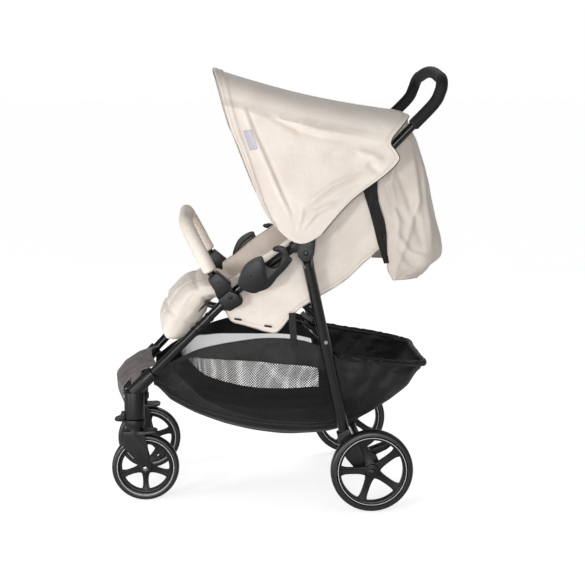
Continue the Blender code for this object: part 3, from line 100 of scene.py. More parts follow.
GRIP_FOAM = 0.004
BUMPER_FOOT = (-0.1475, -0.204, 0.531)
BUMPER_CROSS = (-0.212, 0.656)
BUMPER_CORNER = 0.075
BUMPER_CORE = 0.0095
BUMPER_PADDING = 0.0066
# Front and rear edge of the canopy in the side view
CANOPY_FRONT_EDGE = ((-0.012, 0.658), (-0.041, 0.706), (-0.089, 0.828), (-0.109, 0.877), (-0.135, 0.971),
                     (-0.144, 1.001))
CANOPY_REAR_EDGE = ((0.094, 0.642), (0.161, 0.716), (0.235, 0.771), (0.2665, 0.804), (0.262, 0.822),
                    (0.2495, 0.849), (0.298, 0.901))
CANOPY_TIP = (0.06, 0.618)
CANOPY_TIP_Y = 0.2745
CANOPY_CORNER = 0.075
# Length of the canopy's side from its tip to the roof
CANOPY_SIDE = 0.36
ROOF_RISE = 0.005
RELIEF_GAIN = 1.7
# x, height of the upper and of the lower edge, half width
SIDE_PANEL = ((-0.1225, 0.52, 0.454, 0.1738), (-0.112, 0.528, 0.434, 0.1755), (-0.1, 0.536, 0.4265, 0.177),
              (-0.089, 0.543, 0.4235, 0.1785), (-0.05, 0.573, 0.4135, 0.185),
              (-0.024, 0.591, 0.4065, 0.19), (-0.004, 0.605, 0.407, 0.194), (0.026, 0.626, 0.442, 0.2),
              (0.05, 0.64, 0.465, 0.204), (0.095, 0.668, 0.493, 0.208),
              (0.15, 0.708, 0.527, 0.209), (0.205, 0.748, 0.577, 0.209), (0.2415, 0.69, 0.606, 0.209))
DRAPE_TOP, DRAPE_FOOT, DRAPE_DROP = 0.892, 0.527, 0.365
DRAPE_CORNER = 0.052
# Height, x of the side edge and of the back, half width
DRAPE_LEVELS = ((0.892, 0.262, 0.296, 0.2), (0.84, 0.244, 0.319, 0.21), (0.76, 0.226, 0.342, 0.214),
                (0.71, 0.228, 0.352, 0.215), (0.66, 0.243, 0.362, 0.216), (0.61, 0.248, 0.374, 0.215),
                (0.575, 0.2485, 0.374, 0.213), (0.55, 0.25, 0.35, 0.211), (0.527, 0.262, 0.322, 0.206))
BASKET_FRONT, BASKET_REAR = -0.29, 0.338
# x, half width, height of the rim and of the floor's edge
BASKET_STATIONS = ((-0.29, 0.112, 0.298, 0.262), (-0.252, 0.128, 0.322, 0.226), (-0.19, 0.15, 0.356, 0.194),
                   (-0.12, 0.172, 0.376, 0.171), (-0.03, 0.192, 0.39, 0.154), (0.06, 0.204, 0.384, 0.15),
                   (0.14, 0.209, 0.352, 0.16), (0.2, 0.206, 0.341, 0.192), (0.26, 0.194, 0.333, 0.228),
                   (0.305, 0.174, 0.326, 0.262), (0.338, 0.138, 0.32, 0.298))
# Fall from the rim at 0 to the floor at 1, share of the half width
BASKET_WALL = ((0.0, 1.0), (0.3, 1.01), (0.65, 0.97), (0.92, 0.86), (1.0, 0.62))
# x, fall of the window's upper and of its lower edge
BASKET_WINDOW = ((-0.245, 0.03, 0.26), (-0.2, 0.07, 0.58), (-0.171, 0.13, 0.72), (-0.101, 0.19, 0.8),
                 (-0.03, 0.23, 0.83), (0.049, 0.235, 0.83), (0.125, 0.22, 0.82))
WINDOW_FRONT, WINDOW_REAR = BASKET_WINDOW[0][0], BASKET_WINDOW[-1][0]
BASKET_CLOTH = 0.0022
SEAM_FALL = 0.86
# Grid lines of the basket's wall between which its windows lie
WINDOW_TOP, WINDOW_LOW = 6, 18
SIDES = (("left", -1.0), ("right", 1.0))

# The photograph's camera
CAMERA_PLACE = (-0.1832, -3.6535, 1.0156)
CAMERA_YAW = 0.062
CAMERA_PITCH = 0.1484
CAMERA_LENS = 93.82
CAMERA_SENSOR = 36.0


def linear(code):
    """Linear RGBA of an sRGB hex code such as EFE5DA."""
    parts = [int(code[i:i + 2], 16) / 255 for i in (0, 2, 4)]
    return tuple(c / 12.92 if c <= 0.04045 else ((c + 0.055) / 1.055) ** 2.4 for c in parts) + (1.0,)


def colour_property(name, description, code):
    """A colour that a user may change, with its sRGB hex default."""
    return bpy.props.FloatVectorProperty(name=name, description=description, subtype="COLOR", size=4,
                                         min=0.0, max=1.0, default=linear(code))


def length_property(name, description, default):
    """A length in metres that a user may change."""
    return bpy.props.FloatProperty(name=name, description=description, default=default, min=0.0,
                                   unit="LENGTH", subtype="DISTANCE", precision=4)


class PushchairColours(bpy.types.PropertyGroup):
    """Colours of the pushchair's finishes."""
    cream: colour_property("Cream canvas", "Woven polyester of the canopy and seat", "EFE5DA")
    cream_shade: colour_property("Cream canvas shade", "Darker threads of the cream cloth", "E7DBD0")
    black_cloth: colour_property("Black cloth", "Twill of the basket and straps", "0C0C0D")
    paint: colour_property("Tube paint", "Gloss powder coat of the tubes", "050506")
    plastic: colour_property("Charcoal plastic", "Moulded nylon of the joints", "0D0E0F")
    grey_plastic: colour_property("Grey plastic", "Moulded grey parts", "262628")
    tyre: colour_property("Tyre", "Foam rubber of the tyres", "0E0E10")
    rim: colour_property("Rim", "Moulded rims", "101113")
    stripe: colour_property("Pinstripe", "Bright ring on the rims", "F2F2F4")
    steel: colour_property("Zinc steel", "Bolts, rivets and pins", "9A9CA0")
    foam: colour_property("Grip foam", "Foam sleeve of the handle", "0E0E10")
    tag: colour_property("Tag", "Bare sewn tag on the canopy", "C6C1CB")


class PushchairSizes(bpy.types.PropertyGroup):
    """Sizes of the pushchair's finishes."""
    edge: length_property("Moulded edge", "Radius on the edges of moulded parts", 0.0009)
    cloth: length_property("Cloth thickness", "Thickness of canopy and side panel cloth", 0.0018)
    stitch: length_property("Stitch length", "Length of one stitch", 0.0042)
    thread: length_property("Thread thickness", "Thickness of the sewing thread", 0.0012)
    net: length_property("Net thread", "Thickness of the basket's net threads", 0.0012)
    piping: length_property("Piping radius", "Radius of the piping on sewn edges", 0.0014)


# Meshes


def between(a, b, c, d, t):
    """Value at a share t of the way from b to c, on a smooth curve that also passes through a and d."""
    return 0.5 * (2 * b + (c - a) * t + (2 * a - 5 * b + 4 * c - d) * t ** 2 + (3 * b - a - 3 * c + d) * t ** 3)


def evenly(first, last, steps):
    """Numbers at even steps from the first to the last."""
    return [first + (last - first) * i / steps for i in range(steps + 1)]


def quarter_turn(steps, first=1):
    """Sine and cosine at even steps over a quarter turn."""
    angles = [math.radians(90.0 * k / steps) for k in range(first, steps + 1)]
    return [(math.sin(a), math.cos(a)) for a in angles]


def lerp_table(table, x):
    """Values between the rows of a table whose first column is x, on a smooth curve."""
    last = len(table) - 1
    if x <= table[0][0]:
        return list(table[0][1:])
    if x >= table[last][0]:
        return list(table[last][1:])
    i = next(k for k in range(last) if x <= table[k + 1][0])
    t = (x - table[i][0]) / (table[i + 1][0] - table[i][0])
    rows = [table[max(0, min(last, k))][1:] for k in (i - 1, i, i + 1, i + 2)]
    return [between(a, b, c, d, t) for a, b, c, d in zip(*rows)]


def spline(points, steps):
    """A smooth curve through the points, with an even number of steps a span."""
    pts = [Vector(p) for p in points]
    pts = [pts[0] * 2 - pts[1]] + pts + [pts[-1] * 2 - pts[-2]]
    result = []
    for a, b, c, d in zip(pts, pts[1:], pts[2:], pts[3:]):
        result += [between(a, b, c, d, k / steps) for k in range(steps)]
    result.append(pts[-2])
    return result


def bend_path(points, radius, steps):
    """Straight runs joined by bends, as a bent tube is."""
    pts = [Vector(p) for p in points]
    result = [pts[0]]
    for before, corner, after in zip(pts, pts[1:], pts[2:]):
        a = corner + (before - corner).normalized() * radius
        b = corner + (after - corner).normalized() * radius
        result += [a * (1 - t) ** 2 + corner * 2 * t * (1 - t) + b * t ** 2 for t in evenly(0.0, 1.0, steps)]
    result.append(pts[-1])
    return result


def mirror_points(points):
    """The same points on the other side of the pushchair, in reverse order."""
    return [Vector((p.x, -p.y, p.z)) for p in reversed(points)]


def both_halves(half):
    """A left half whose last point lies in the middle, and its mirror image."""
    return half + mirror_points(half[:-1])


def in_side_view(points):
    """Pairs of x and z as points in the middle plane."""
    return [Vector((x, 0.0, z)) for x, z in points]


def at_length(points, distance):
    """Point and direction at a distance along a path."""
    for a, b in zip(points, points[1:]):
        step = (b - a).length
        if distance <= step:
            return a.lerp(b, distance / step), (b - a).normalized()
        distance -= step
    return points[-1].copy(), (points[-1] - points[-2]).normalized()


def length_of(points):
    """Length of a path."""
    return sum((b - a).length for a, b in zip(points, points[1:]))


def resample(points, steps):
    """Points at even distances along a path."""
    return [at_length(points, distance)[0] for distance in evenly(0.0, length_of(points), steps)]


def ring_points(centre, radius, count, twist=0.0):
    """Points round a ring in the side view, which a twist moves to both sides of it."""
    x, y, z = centre
    return [Vector((x + radius * math.cos(a), y - twist * math.sin(2 * a), z + radius * math.sin(a)))
            for a in [math.tau * k / count for k in range(count)]]


def end_rounding(share, length, reach):
    """0 at both ends of a sleeve, rising to 1 within the reach as a quarter round does."""
    near = min(1.0, min(share, 1 - share) * length / reach)
    return math.sqrt(max(0.0, 1 - (1 - near) ** 2))


def loft(rings, closed_ring=True, caps=True, closed_path=False):
    """Vertices and faces of a skin over rings of equal count."""
    count = len(rings[0])
    verts = [Vector(p) for ring in rings for p in ring]
    faces = []
    spans = len(rings) if closed_path else len(rings) - 1
    for i in range(spans):
        j = (i + 1) % len(rings)
        for k in range(count if closed_ring else count - 1):
            m = (k + 1) % count
            faces.append((i * count + k, i * count + m, j * count + m, j * count + k))
    if caps and closed_ring and not closed_path:
        faces.append(tuple(range(count))[::-1])
        faces.append(tuple((len(rings) - 1) * count + k for k in range(count)))
    return verts, faces


def sweep(points, radius, sides=24, closed_path=False):
    """Round section carried along a path without twisting; radius is a number or a function of the share."""
    pts = [Vector(p) for p in points]
    last = len(pts) - 1
    tangents = []
    for i in range(len(pts)):
        before = pts[i - 1] if closed_path else pts[max(i - 1, 0)]
        after = pts[(i + 1) % len(pts)] if closed_path else pts[min(i + 1, last)]
        tangents.append((after - before).normalized())
    side = tangents[0].orthogonal().normalized()
    if abs(tangents[0].y) < 0.9:
        side = (Vector((0.0, 1.0, 0.0)) - tangents[0] * tangents[0].y).normalized()
    rings = []
    for i, (p, tangent) in enumerate(zip(pts, tangents)):
        side = (side - tangent * side.dot(tangent)).normalized()
        up = tangent.cross(side)
        size = radius(i / last) if callable(radius) else radius
        rings.append([p + side * (size * math.cos(math.tau * k / sides))
                      + up * (size * math.sin(math.tau * k / sides)) for k in range(sides)])
    return loft(rings, True, True, closed_path)


def lathe(profile, centre, segments=96):
    """A closed profile of (radius, y) turned round an axis along Y through the centre."""
    rings = []
    for i in range(segments):
        a = math.tau * i / segments
        rings.append([(centre[0] + r * math.cos(a), centre[1] + y, centre[2] + r * math.sin(a))
                      for r, y in profile])
    return loft(rings, True, False, True)


def linked(name, data):
    """A new object in the scene that shows the data."""
    obj = bpy.data.objects.new(name, data)
    bpy.context.scene.collection.objects.link(obj)
    return obj


def edit_mesh(mesh, work):
    """Run bmesh work on a mesh."""
    bm = bmesh.new()
    bm.from_mesh(mesh)
    work(bm)
    bm.to_mesh(mesh)
    bm.free()


def turn_outwards(bm):
    """Turn the faces of closed shells outwards."""
    bmesh.ops.recalc_face_normals(bm, faces=bm.faces)


def build(name, shells, uv=None):
    """One mesh object from closed shells, with its faces turned outwards."""
    verts, faces = [], []
    for shell_verts, shell_faces in shells:
        start = len(verts)
        verts += [tuple(v) for v in shell_verts]
        faces += [tuple(start + i for i in f) for f in shell_faces]
    mesh = bpy.data.meshes.new(name)
    mesh.from_pydata(verts, [], faces)
    if uv:
        layer = mesh.uv_layers.new(name="UVMap")
        for loop in mesh.loops:
            layer.data[loop.index].uv = uv[loop.vertex_index]
    edit_mesh(mesh, turn_outwards)
    return linked(name, mesh)


def soften(obj, angle=35.0):
    """Smooth shading that breaks at sharp edges."""
    for polygon in obj.data.polygons:
        polygon.use_smooth = True
    obj.data.set_sharp_from_angle(angle=math.radians(angle))
    return obj


def plain(obj):
    """The object's evaluated shape as its own plain mesh, with no modifier left."""
    bpy.context.view_layer.update()
    mesh = bpy.data.meshes.new_from_object(obj.evaluated_get(bpy.context.evaluated_depsgraph_get()))
    mesh.name = obj.name
    obj.modifiers.clear()
    obj.data = mesh
    return obj


def modified(obj, kind, **settings):
    """The object with the shape that a modifier of these settings gives it."""
    modifier = obj.modifiers.new(kind.title(), kind)
    for key, value in settings.items():
        setattr(modifier, key, value)
    return plain(obj)


def finished(obj, finish, on, replaces=()):
    """Give a piece its finish and say which body it rides on; a piece given a blend of two is only baked in place.
    Hide the CAD nodes that it stands for.
    """
    material, slot = finish_of(finish)
    obj.data.materials.clear()
    obj.data.materials.append(material)
    if isinstance(on, str):
        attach(obj, on)
    else:
        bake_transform(obj)
    if replaces:
        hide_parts(*replaces)
    return obj


def made(name, shells, finish, on, replaces=(), angle=35.0):
    """A finished piece from closed shells, with smooth shading that breaks at edges sharper than the angle."""
    return finished(soften(build(name, shells), angle), finish, on, replaces)


def sheet_mesh(name, rows, thickness, cut=None):
    """A sheet over rows of points, with UVs in metres and a wall of its own thickness, after an optional cut."""
    verts, faces = loft(rows, False, False)
    uv = []
    down = [0.0] * len(rows[0])
    for i, row in enumerate(rows):
        across = 0.0
        for k, p in enumerate(row):
            if k:
                across += (Vector(p) - Vector(row[k - 1])).length
            if i:
                down[k] += (Vector(p) - Vector(rows[i - 1][k])).length
            uv.append((across, down[k]))
    obj = build(name, [(verts, faces)], uv)
    if cut:
        edit_mesh(obj.data, cut)
    return soften(modified(obj, "SOLIDIFY", thickness=thickness, offset=0.0), 60.0)


# Node trees


def add_node(tree, kind, settings=None, values=None, links=None):
    """Add a node with its settings, its sockets' values and the links into it."""
    node = tree.nodes.new(kind)
    for key, value in (settings or {}).items():
        setattr(node, key, value)
    for socket, value in (values or {}).items():
        node.inputs[socket].default_value = value
    for socket, source in (links or {}).items():
        tree.links.new(source, node.inputs[socket])
    return node


def start_material(name, sockets):
    """A material with a Principled shader whose sockets hold the given values, and its tree and shader."""
    material = bpy.data.materials.new(name)
    material.use_nodes = True
    tree = material.node_tree
    tree.nodes.clear()
    shader = add_node(tree, "ShaderNodeBsdfPrincipled", values=sockets)
    add_node(tree, "ShaderNodeOutputMaterial", links={"Surface": shader.outputs["BSDF"]})
    return material, tree, shader


def mottle(tree, shader, source, first, second, scale, detail=3.0):
    """Soft colour change between two tones over a noise of the given scale."""
    cloud = add_node(tree, "ShaderNodeTexNoise", values={"Scale": scale, "Detail": detail}, links={"Vector": source})
    ramp = add_node(tree, "ShaderNodeValToRGB", links={"Fac": cloud.outputs["Fac"]})
    ramp.color_ramp.elements[0].position = 0.35
    ramp.color_ramp.elements[1].position = 0.65
    ramp.color_ramp.elements[0].color = first
    ramp.color_ramp.elements[1].color = second
    tree.links.new(ramp.outputs["Color"], shader.inputs["Base Color"])
    return cloud


def tone(colour, factor):
    """A colour of the panel by its name, or an sRGB code, made lighter or darker."""
    colours = bpy.context.scene.pushchair_colours
    base = getattr(colours, colour) if hasattr(colours, colour) else linear(colour)
    return tuple(min(1.0, c * factor) for c in base[:3]) + (1.0,)


def hard_material(name, colour, tones, clouds, rough, grain, sockets):
    """Coat, moulding, foam or metal: cloudy tone, roughness that follows it, and a fine grain."""
    material, tree, shader = start_material(name, sockets)
    place = add_node(tree, "ShaderNodeTexCoord").outputs["Object"]
    cloud = mottle(tree, shader, place, tone(colour, tones[0]), tone(colour, tones[1]), clouds)
    span = add_node(tree, "ShaderNodeMapRange", values={"To Min": rough[0], "To Max": rough[1]},
                    links={"Value": cloud.outputs["Fac"]})
    tree.links.new(span.outputs["Result"], shader.inputs["Roughness"])
    if grain:
        scale, detail, strength, distance = grain
        if detail is None:
            height = add_node(tree, "ShaderNodeTexVoronoi", values={"Scale": scale},
                              links={"Vector": place}).outputs["Distance"]
        else:
            height = add_node(tree, "ShaderNodeTexNoise", values={"Scale": scale, "Detail": detail},
                              links={"Vector": place}).outputs["Fac"]
        relief = add_node(tree, "ShaderNodeBump", values={"Strength": strength, "Distance": distance},
                          links={"Height": height})
        tree.links.new(relief.outputs["Normal"], shader.inputs["Normal"])
    return material


def moulded(slot, name, colour, rough, tones=(0.85, 1.2), grain=(900.0, 2.0, 0.22, 0.0004)):
    """Row of the table of hard finishes for injection-moulded nylon: satin, with a spark-eroded grain."""
    return slot, name, colour, tones, 35.0, rough, grain, {"IOR": 1.5, "Specular IOR Level": 0.38}


# Hard finishes: slot, name, colour, its two tones, scale of the clouds, roughness, grain and shader sockets.
# A grain is its scale, detail, strength and depth, and without a detail it is made of open pores. Orange peel
# is 2 mm across. A spark-eroded grain of 0.5 mm is drawn at 1 mm, and foam pores of 0.3 mm at 1.5 mm, so that
# they show.
HARD_FINISHES = {
    "paint": ("frame", "powder_coated_aluminium", "paint", (1.0, 1.5), 60.0, (0.2, 0.3),
              (450.0, 1.0, 0.1, 0.0003), {"Coat Weight": 0.2, "Coat Roughness": 0.12, "IOR": 1.42}),
    "black": moulded("plastic", "moulded_nylon_black", "plastic", (0.3, 0.44)),
    "grey": moulded("grey_plastic", "moulded_nylon_grey", "grey_plastic", (0.34, 0.48)),
    "rim": moulded("rim", "moulded_rim_nylon", "rim", (0.24, 0.36)),
    # The footrest's light grey, far lighter than the other mouldings, is painted sheen: it stands for the shine
    # along the ribs of a dark moulding.
    "ribbed": moulded("plastic", "moulded_footrest_nylon", "6A6464", (0.22, 0.34)),
    "thread": moulded("cream_cloth", "cream_polyester_thread", "cream_shade", (0.45, 0.6), (0.527, 0.744),
                      (1500.0, 2.0, 0.1, 0.0004)),
    "pin": moulded("steel", "black_oxide_steel", "1A1A1C", (0.16, 0.26), grain=(1500.0, 2.0, 0.08, 0.0004)),
    "steel": ("steel", "zinc_plated_steel", "steel", (0.85, 1.0), 300.0, (0.18, 0.34),
              (900.0, 4.0, 0.08, 0.0003), {"Metallic": 1.0}),
    "stripe": ("steel", "hot_stamped_foil", "stripe", (0.92, 1.0), 200.0, (0.2, 0.32), None,
               {"Metallic": 0.25, "IOR": 1.5}),
    "tyre": ("tyre", "foam_rubber_tyre", "tyre", (1.0, 1.6), 90.0, (0.3, 0.42), (700.0, 2.0, 0.15, 0.0004),
             {"IOR": 1.5, "Coat Weight": 0.2, "Coat Roughness": 0.25}),
    "foam": ("foam", "neoprene_foam", "foam", (1.0, 1.7), 120.0, (0.62, 0.8), (650.0, None, 0.35, 0.0006),
             {"IOR": 1.45}),
}


# Cloths: slot, name, dark and light tone, roughness, thread pitch, relief of the weave, and what differs from
# a plain weave with UVs. Threads of 0.4 mm are drawn 1.6 mm apart or more so that they show.
CLOTHS = {
    "canvas": ("cream_cloth", "cream_polyester_canvas", ("cream_shade", 1.0), ("cream", 1.0), 0.72, 0.0016, 0.35,
               {}),
    # The drape is the cream canvas with its tones darkened to 0.8 and 0.84: painted shade, a shaded copy of the same
    # cloth.
    "drape": ("cream_cloth", "cream_polyester_drape", ("cream_shade", 0.8), ("cream", 0.84), 0.72, 0.0016, 0.35,
              {}),
    "padding": ("cream_cloth", "cream_padded_canvas", ("cream_shade", 1.0), ("cream", 1.0), 0.75, 0.0016, 0.3,
                {"by_uv": False}),
    "tag": ("cream_cloth", "lilac_satin_tape", ("tag", 0.92), ("tag", 1.0), 0.5, 0.0016, 0.3, {"by_uv": False}),
    "twill": ("black_cloth", "black_polyester_twill", ("black_cloth", 0.7), ("black_cloth", 1.4), 0.58, 0.002, 0.4,
              {"bands": "DIAGONAL", "sheen": 0.05, "creased": 0.9}),
    "webbing": ("black_cloth", "black_polypropylene_webbing", ("black_cloth", 0.6), ("black_cloth", 1.0), 0.6,
                0.0022, 0.6, {"by_uv": False}),
}


def woven_cloth(name, dark, light, rough, pitch, relief, other):
    """Woven polyester: two crossed sets of threads, soft creases, cloudy tone and a sheen at grazing angles."""
    material, tree, shader = start_material(name, {
        "IOR": 1.45, "Roughness": rough, "Sheen Weight": other.get("sheen", 0.25), "Sheen Roughness": 0.5})
    coords = add_node(tree, "ShaderNodeTexCoord")
    mottle(tree, shader, coords.outputs["Object"], tone(*dark), tone(*light), 14.0, 5.0)
    # A wave repeats every tau / (20 * scale) metres, so the scale comes from the thread pitch
    weave = {"Scale": math.tau / (20.0 * pitch), "Distortion": 0.6, "Detail": 1.0}
    place = {"Vector": coords.outputs["UV" if other.get("by_uv", True) else "Object"]}
    warp, weft = (add_node(tree, "ShaderNodeTexWave", {"bands_direction": bands}, weave, place)
                  for bands in (other.get("bands", "X"), "Y"))
    both = add_node(tree, "ShaderNodeMath", {"operation": "ADD"},
                    links={0: warp.outputs["Fac"], 1: weft.outputs["Fac"]})
    creases = add_node(tree, "ShaderNodeTexNoise", values={"Scale": 26.0, "Detail": 3.0, "Distortion": 0.8},
                       links={"Vector": coords.outputs["Object"]})
    creased = add_node(tree, "ShaderNodeBump", values={"Strength": other.get("creased", 0.3), "Distance": 0.006},
                       links={"Height": creases.outputs["Fac"]})
    woven = add_node(tree, "ShaderNodeBump", values={"Strength": relief, "Distance": 0.0004},
                     links={"Height": both.outputs[0], "Normal": creased.outputs["Normal"]})
    tree.links.new(woven.outputs["Normal"], shader.inputs["Normal"])
    return material


def finish_of(key):
    """The material of a finish, made once, and the slot that its table names."""
    table, make = (CLOTHS, woven_cloth) if key in CLOTHS else (HARD_FINISHES, hard_material)
    slot, name, *rest = table[key]
    return bpy.data.materials.get(name) or make(name, *rest), slot


# Geometry Nodes


def times(tree, socket, factor):
    """The socket's number times a factor."""
    return add_node(tree, "ShaderNodeMath", {"operation": "MULTIPLY"}, {1: factor}, {0: socket}).outputs[0]


def shared_tree(name, sizes, grow):
    """The Geometry Nodes tree of this name, made once: grow adds its nodes and returns the last output."""
    tree = bpy.data.node_groups.get(name)
    if tree:
        return tree
    tree = bpy.data.node_groups.new(name, "GeometryNodeTree")
    for way in ("OUTPUT", "INPUT"):
        tree.interface.new_socket("Geometry", in_out=way, socket_type="NodeSocketGeometry")
    for label, default in sizes.items():
        tree.interface.new_socket(label, in_out="INPUT", socket_type="NodeSocketFloat").default_value = default
    tree.interface.new_socket("Material", in_out="INPUT", socket_type="NodeSocketMaterial")
    start = add_node(tree, "NodeGroupInput")
    end = add_node(tree, "NodeGroupOutput")
    real = add_node(tree, "GeometryNodeRealizeInstances", links={"Geometry": grow(tree, start)})
    painted = add_node(tree, "GeometryNodeSetMaterial",
                       links={"Geometry": real.outputs[0], "Material": start.outputs["Material"]})
    tree.links.new(painted.outputs[0], end.inputs[0])
    return tree


def edge_curves(tree, start):
    """Every edge of the mesh as part of a curve."""
    return add_node(tree, "GeometryNodeMeshToCurve", links={"Mesh": start.outputs["Geometry"]}).outputs[0]


def net_threads(tree, start):
    """Round threads along every edge of a mesh, as in a knitted net."""
    lines = edge_curves(tree, start)
    ring = add_node(tree, "GeometryNodeCurvePrimitiveCircle", values={"Resolution": 4},
                    links={"Radius": start.outputs["Radius"]})
    return add_node(tree, "GeometryNodeCurveToMesh",
                    links={"Curve": lines, "Profile Curve": ring.outputs["Curve"]}).outputs[0]


def stitch_row(tree, start):
    """Stitches laid end to end along the edges of a mesh, with a gap between them."""
    lines = edge_curves(tree, start)
    spaced = add_node(tree, "GeometryNodeResampleCurve", {"mode": "LENGTH"},
                      links={"Curve": lines, "Length": start.outputs["Pitch"]})
    tangent = add_node(tree, "GeometryNodeInputTangent")
    turn = add_node(tree, "FunctionNodeAlignRotationToVector", {"axis": "Z"},
                    links={"Vector": tangent.outputs[0]})
    stitch = add_node(tree, "GeometryNodeMeshUVSphere", values={"Segments": 6, "Rings": 4, "Radius": 0.5})
    size = add_node(tree, "ShaderNodeCombineXYZ", links={
        "X": start.outputs["Thickness"], "Y": start.outputs["Thickness"],
        "Z": times(tree, start.outputs["Pitch"], STITCH_SHARE)})
    return add_node(tree, "GeometryNodeInstanceOnPoints", links={
        "Points": spaced.outputs[0], "Instance": stitch.outputs[0], "Rotation": turn.outputs[0],
        "Scale": size.outputs[0]}).outputs[0]


def round_heads(tree, start):
    """Round heads on every vertex of a mesh, facing along Y: a flat washer under a smaller raised head."""
    joined_heads = add_node(tree, "GeometryNodeJoinGeometry")
    for share, rise in ((1.0, 0.55), (0.62, 1.0)):
        head = add_node(tree, "GeometryNodeMeshCylinder", values={"Vertices": 20},
                        links={"Radius": times(tree, start.outputs["Radius"], share),
                               "Depth": times(tree, start.outputs["Height"], rise)})
        placed = add_node(tree, "GeometryNodeInstanceOnPoints", values={"Rotation": (math.pi / 2, 0.0, 0.0)},
                          links={"Points": start.outputs["Geometry"], "Instance": head.outputs["Mesh"]})
        tree.links.new(placed.outputs[0], joined_heads.inputs[0])
    return joined_heads.outputs[0]


# Length of a stitch as a share of its pitch
STITCH_SHARE = 0.72
NET = ("net_threads", {"Radius": 0.0006}, net_threads)
STITCHES = ("stitch_row", {"Pitch": 0.005, "Thickness": 0.0009}, stitch_row)
HEADS = ("round_heads", {"Radius": 0.003, "Height": 0.002}, round_heads)


def run_nodes(obj, kind, finish, **sizes):
    """Run a shared tree on the object with these sizes and the finish's material, and bake it to a plain mesh."""
    tree = shared_tree(*kind)
    modifier = obj.modifiers.new(tree.name, "NODES")
    modifier.node_group = tree
    sizes["Material"] = finish_of(finish)[0]
    for item in tree.interface.items_tree:
        if item.in_out == "INPUT" and item.name in sizes:
            modifier[item.identifier] = sizes[item.name]
    return plain(obj)


def points_object(name, points, edges=()):
    """A mesh of loose points and edges for a tree to work on."""
    mesh = bpy.data.meshes.new(name)
    mesh.from_pydata([tuple(p) for p in points], list(edges), [])
    return linked(name, mesh)


def line_object(name, lines):
    """Polylines as one mesh of edges."""
    points, edges = [], []
    for line in lines:
        first = len(points)
        points += line
        edges += [(first + i, first + i + 1) for i in range(len(line) - 1)]
    return points_object(name, points, edges)


def stitched(name, lines, on, pitch=None, thickness=None):
    """Stitches along lines, in the panel's sizes unless others are given."""
    sizes = bpy.context.scene.pushchair_sizes
    rows = run_nodes(line_object(name, lines), STITCHES, "thread", Pitch=pitch or sizes.stitch,
                     Thickness=thickness or sizes.thread)
    return finished(rows, "thread", on)


def piping(name, lines, radius, sides, finish, on):
    """Round cord sewn along lines."""
    return made(name, [sweep(line, radius, sides) for line in lines], finish, on)


# Stage


def aimed(obj, place, direction):
    """Put a camera or lamp in its place and turn it to look in a direction."""
    obj.location = place
    obj.rotation_euler = direction.to_track_quat("-Z", "Y").to_euler()


def camera_or_not(tree, otherwise, seen):
    """A number that is one value for the camera's own rays and another for all others."""
    ray = add_node(tree, "ShaderNodeLightPath").outputs["Is Camera Ray"]
    return add_node(tree, "ShaderNodeMapRange", values={"To Min": otherwise, "To Max": seen},
                    links={"Value": ray}).outputs["Result"]


FLOOR_HALF = 40.0
# Strength of the paper's glow and of the surround: for what they light, and as the camera sees them
PAPER_GLOW = (0.14, 0.68)
SURROUND = (0.27, 1.0)
WHITE = (1.0, 1.0, 1.0, 1.0)
# Lamps: name, kind, place, target, energy, and angle of the sun or size of the softbox
LAMPS = (
    ("camera_side_sun", "SUN", (-0.05, -3.0, 0.46), (0.0, 0.0, 0.0), 1.04, 0.4),
    ("front_softbox", "AREA", (-2.3, -1.1, 0.5), (0.0, 0.1, 0.55), 14.0, 0.8),
    ("left_softbox", "AREA", (-1.5, -2.4, 0.62), (0.0, 0.0, 0.5), 21.0, 0.45),
    ("rear_softbox", "AREA", (0.6, 2.4, 2.4), (0.0, 0.0, 0.7), 13.0, 1.6))


class PUSHCHAIR_OT_stage(bpy.types.Operator):
    """Camera of the photograph, pale floor and soft studio light"""
    bl_idname = "pushchair.stage"
    bl_label = "Stage"

    def execute(self, context):
        scene = context.scene
        data = bpy.data.cameras.new("photograph_camera")
        data.lens = CAMERA_LENS
        data.sensor_width = CAMERA_SENSOR
        scene.camera = linked("photograph_camera", data)
        aimed(scene.camera, CAMERA_PLACE, Vector((
            math.sin(CAMERA_YAW) * math.cos(CAMERA_PITCH), math.cos(CAMERA_YAW) * math.cos(CAMERA_PITCH),
            -math.sin(CAMERA_PITCH))))
        scene.view_settings.view_transform = "Standard"

        half = FLOOR_HALF
        floor = build("studio_floor", [([(-half, -half, 0.0), (half, -half, 0.0), (half, half, 0.0),
                                         (-half, half, 0.0)], [(0, 1, 2, 3)])])
        material, tree, shader = start_material("white_studio_paper", {
            "Roughness": 0.9, "IOR": 1.3, "Emission Color": WHITE})
        place = add_node(tree, "ShaderNodeTexCoord").outputs["Object"]
        # The paper glows for the camera more than it lights the pushchair
        tree.links.new(camera_or_not(tree, *PAPER_GLOW), shader.inputs["Emission Strength"])
        mottle(tree, shader, place, linear("FBFBFB"), linear("FDFDFD"), 3.0)
        floor.data.materials.append(material)

        scene.world = bpy.data.worlds.new("soft_white_surround")
        scene.world.use_nodes = True
        tree = scene.world.node_tree
        tree.nodes.clear()
        # The surround is seen as white paper, and lights the pushchair less than that
        sky = add_node(tree, "ShaderNodeBackground", values={"Color": WHITE},
                       links={"Strength": camera_or_not(tree, *SURROUND)})
        add_node(tree, "ShaderNodeOutputWorld", links={"Surface": sky.outputs["Background"]})

        for name, kind, place, target, energy, size in LAMPS:
            light = bpy.data.lights.new(name, kind)
            light.energy = energy
            setattr(light, "angle" if kind == "SUN" else "size", size)
            lamp = linked(name, light)
            lamp.visible_camera = False
            aimed(lamp, place, Vector(target) - Vector(place))
        return {"FINISHED"}


# Tubes


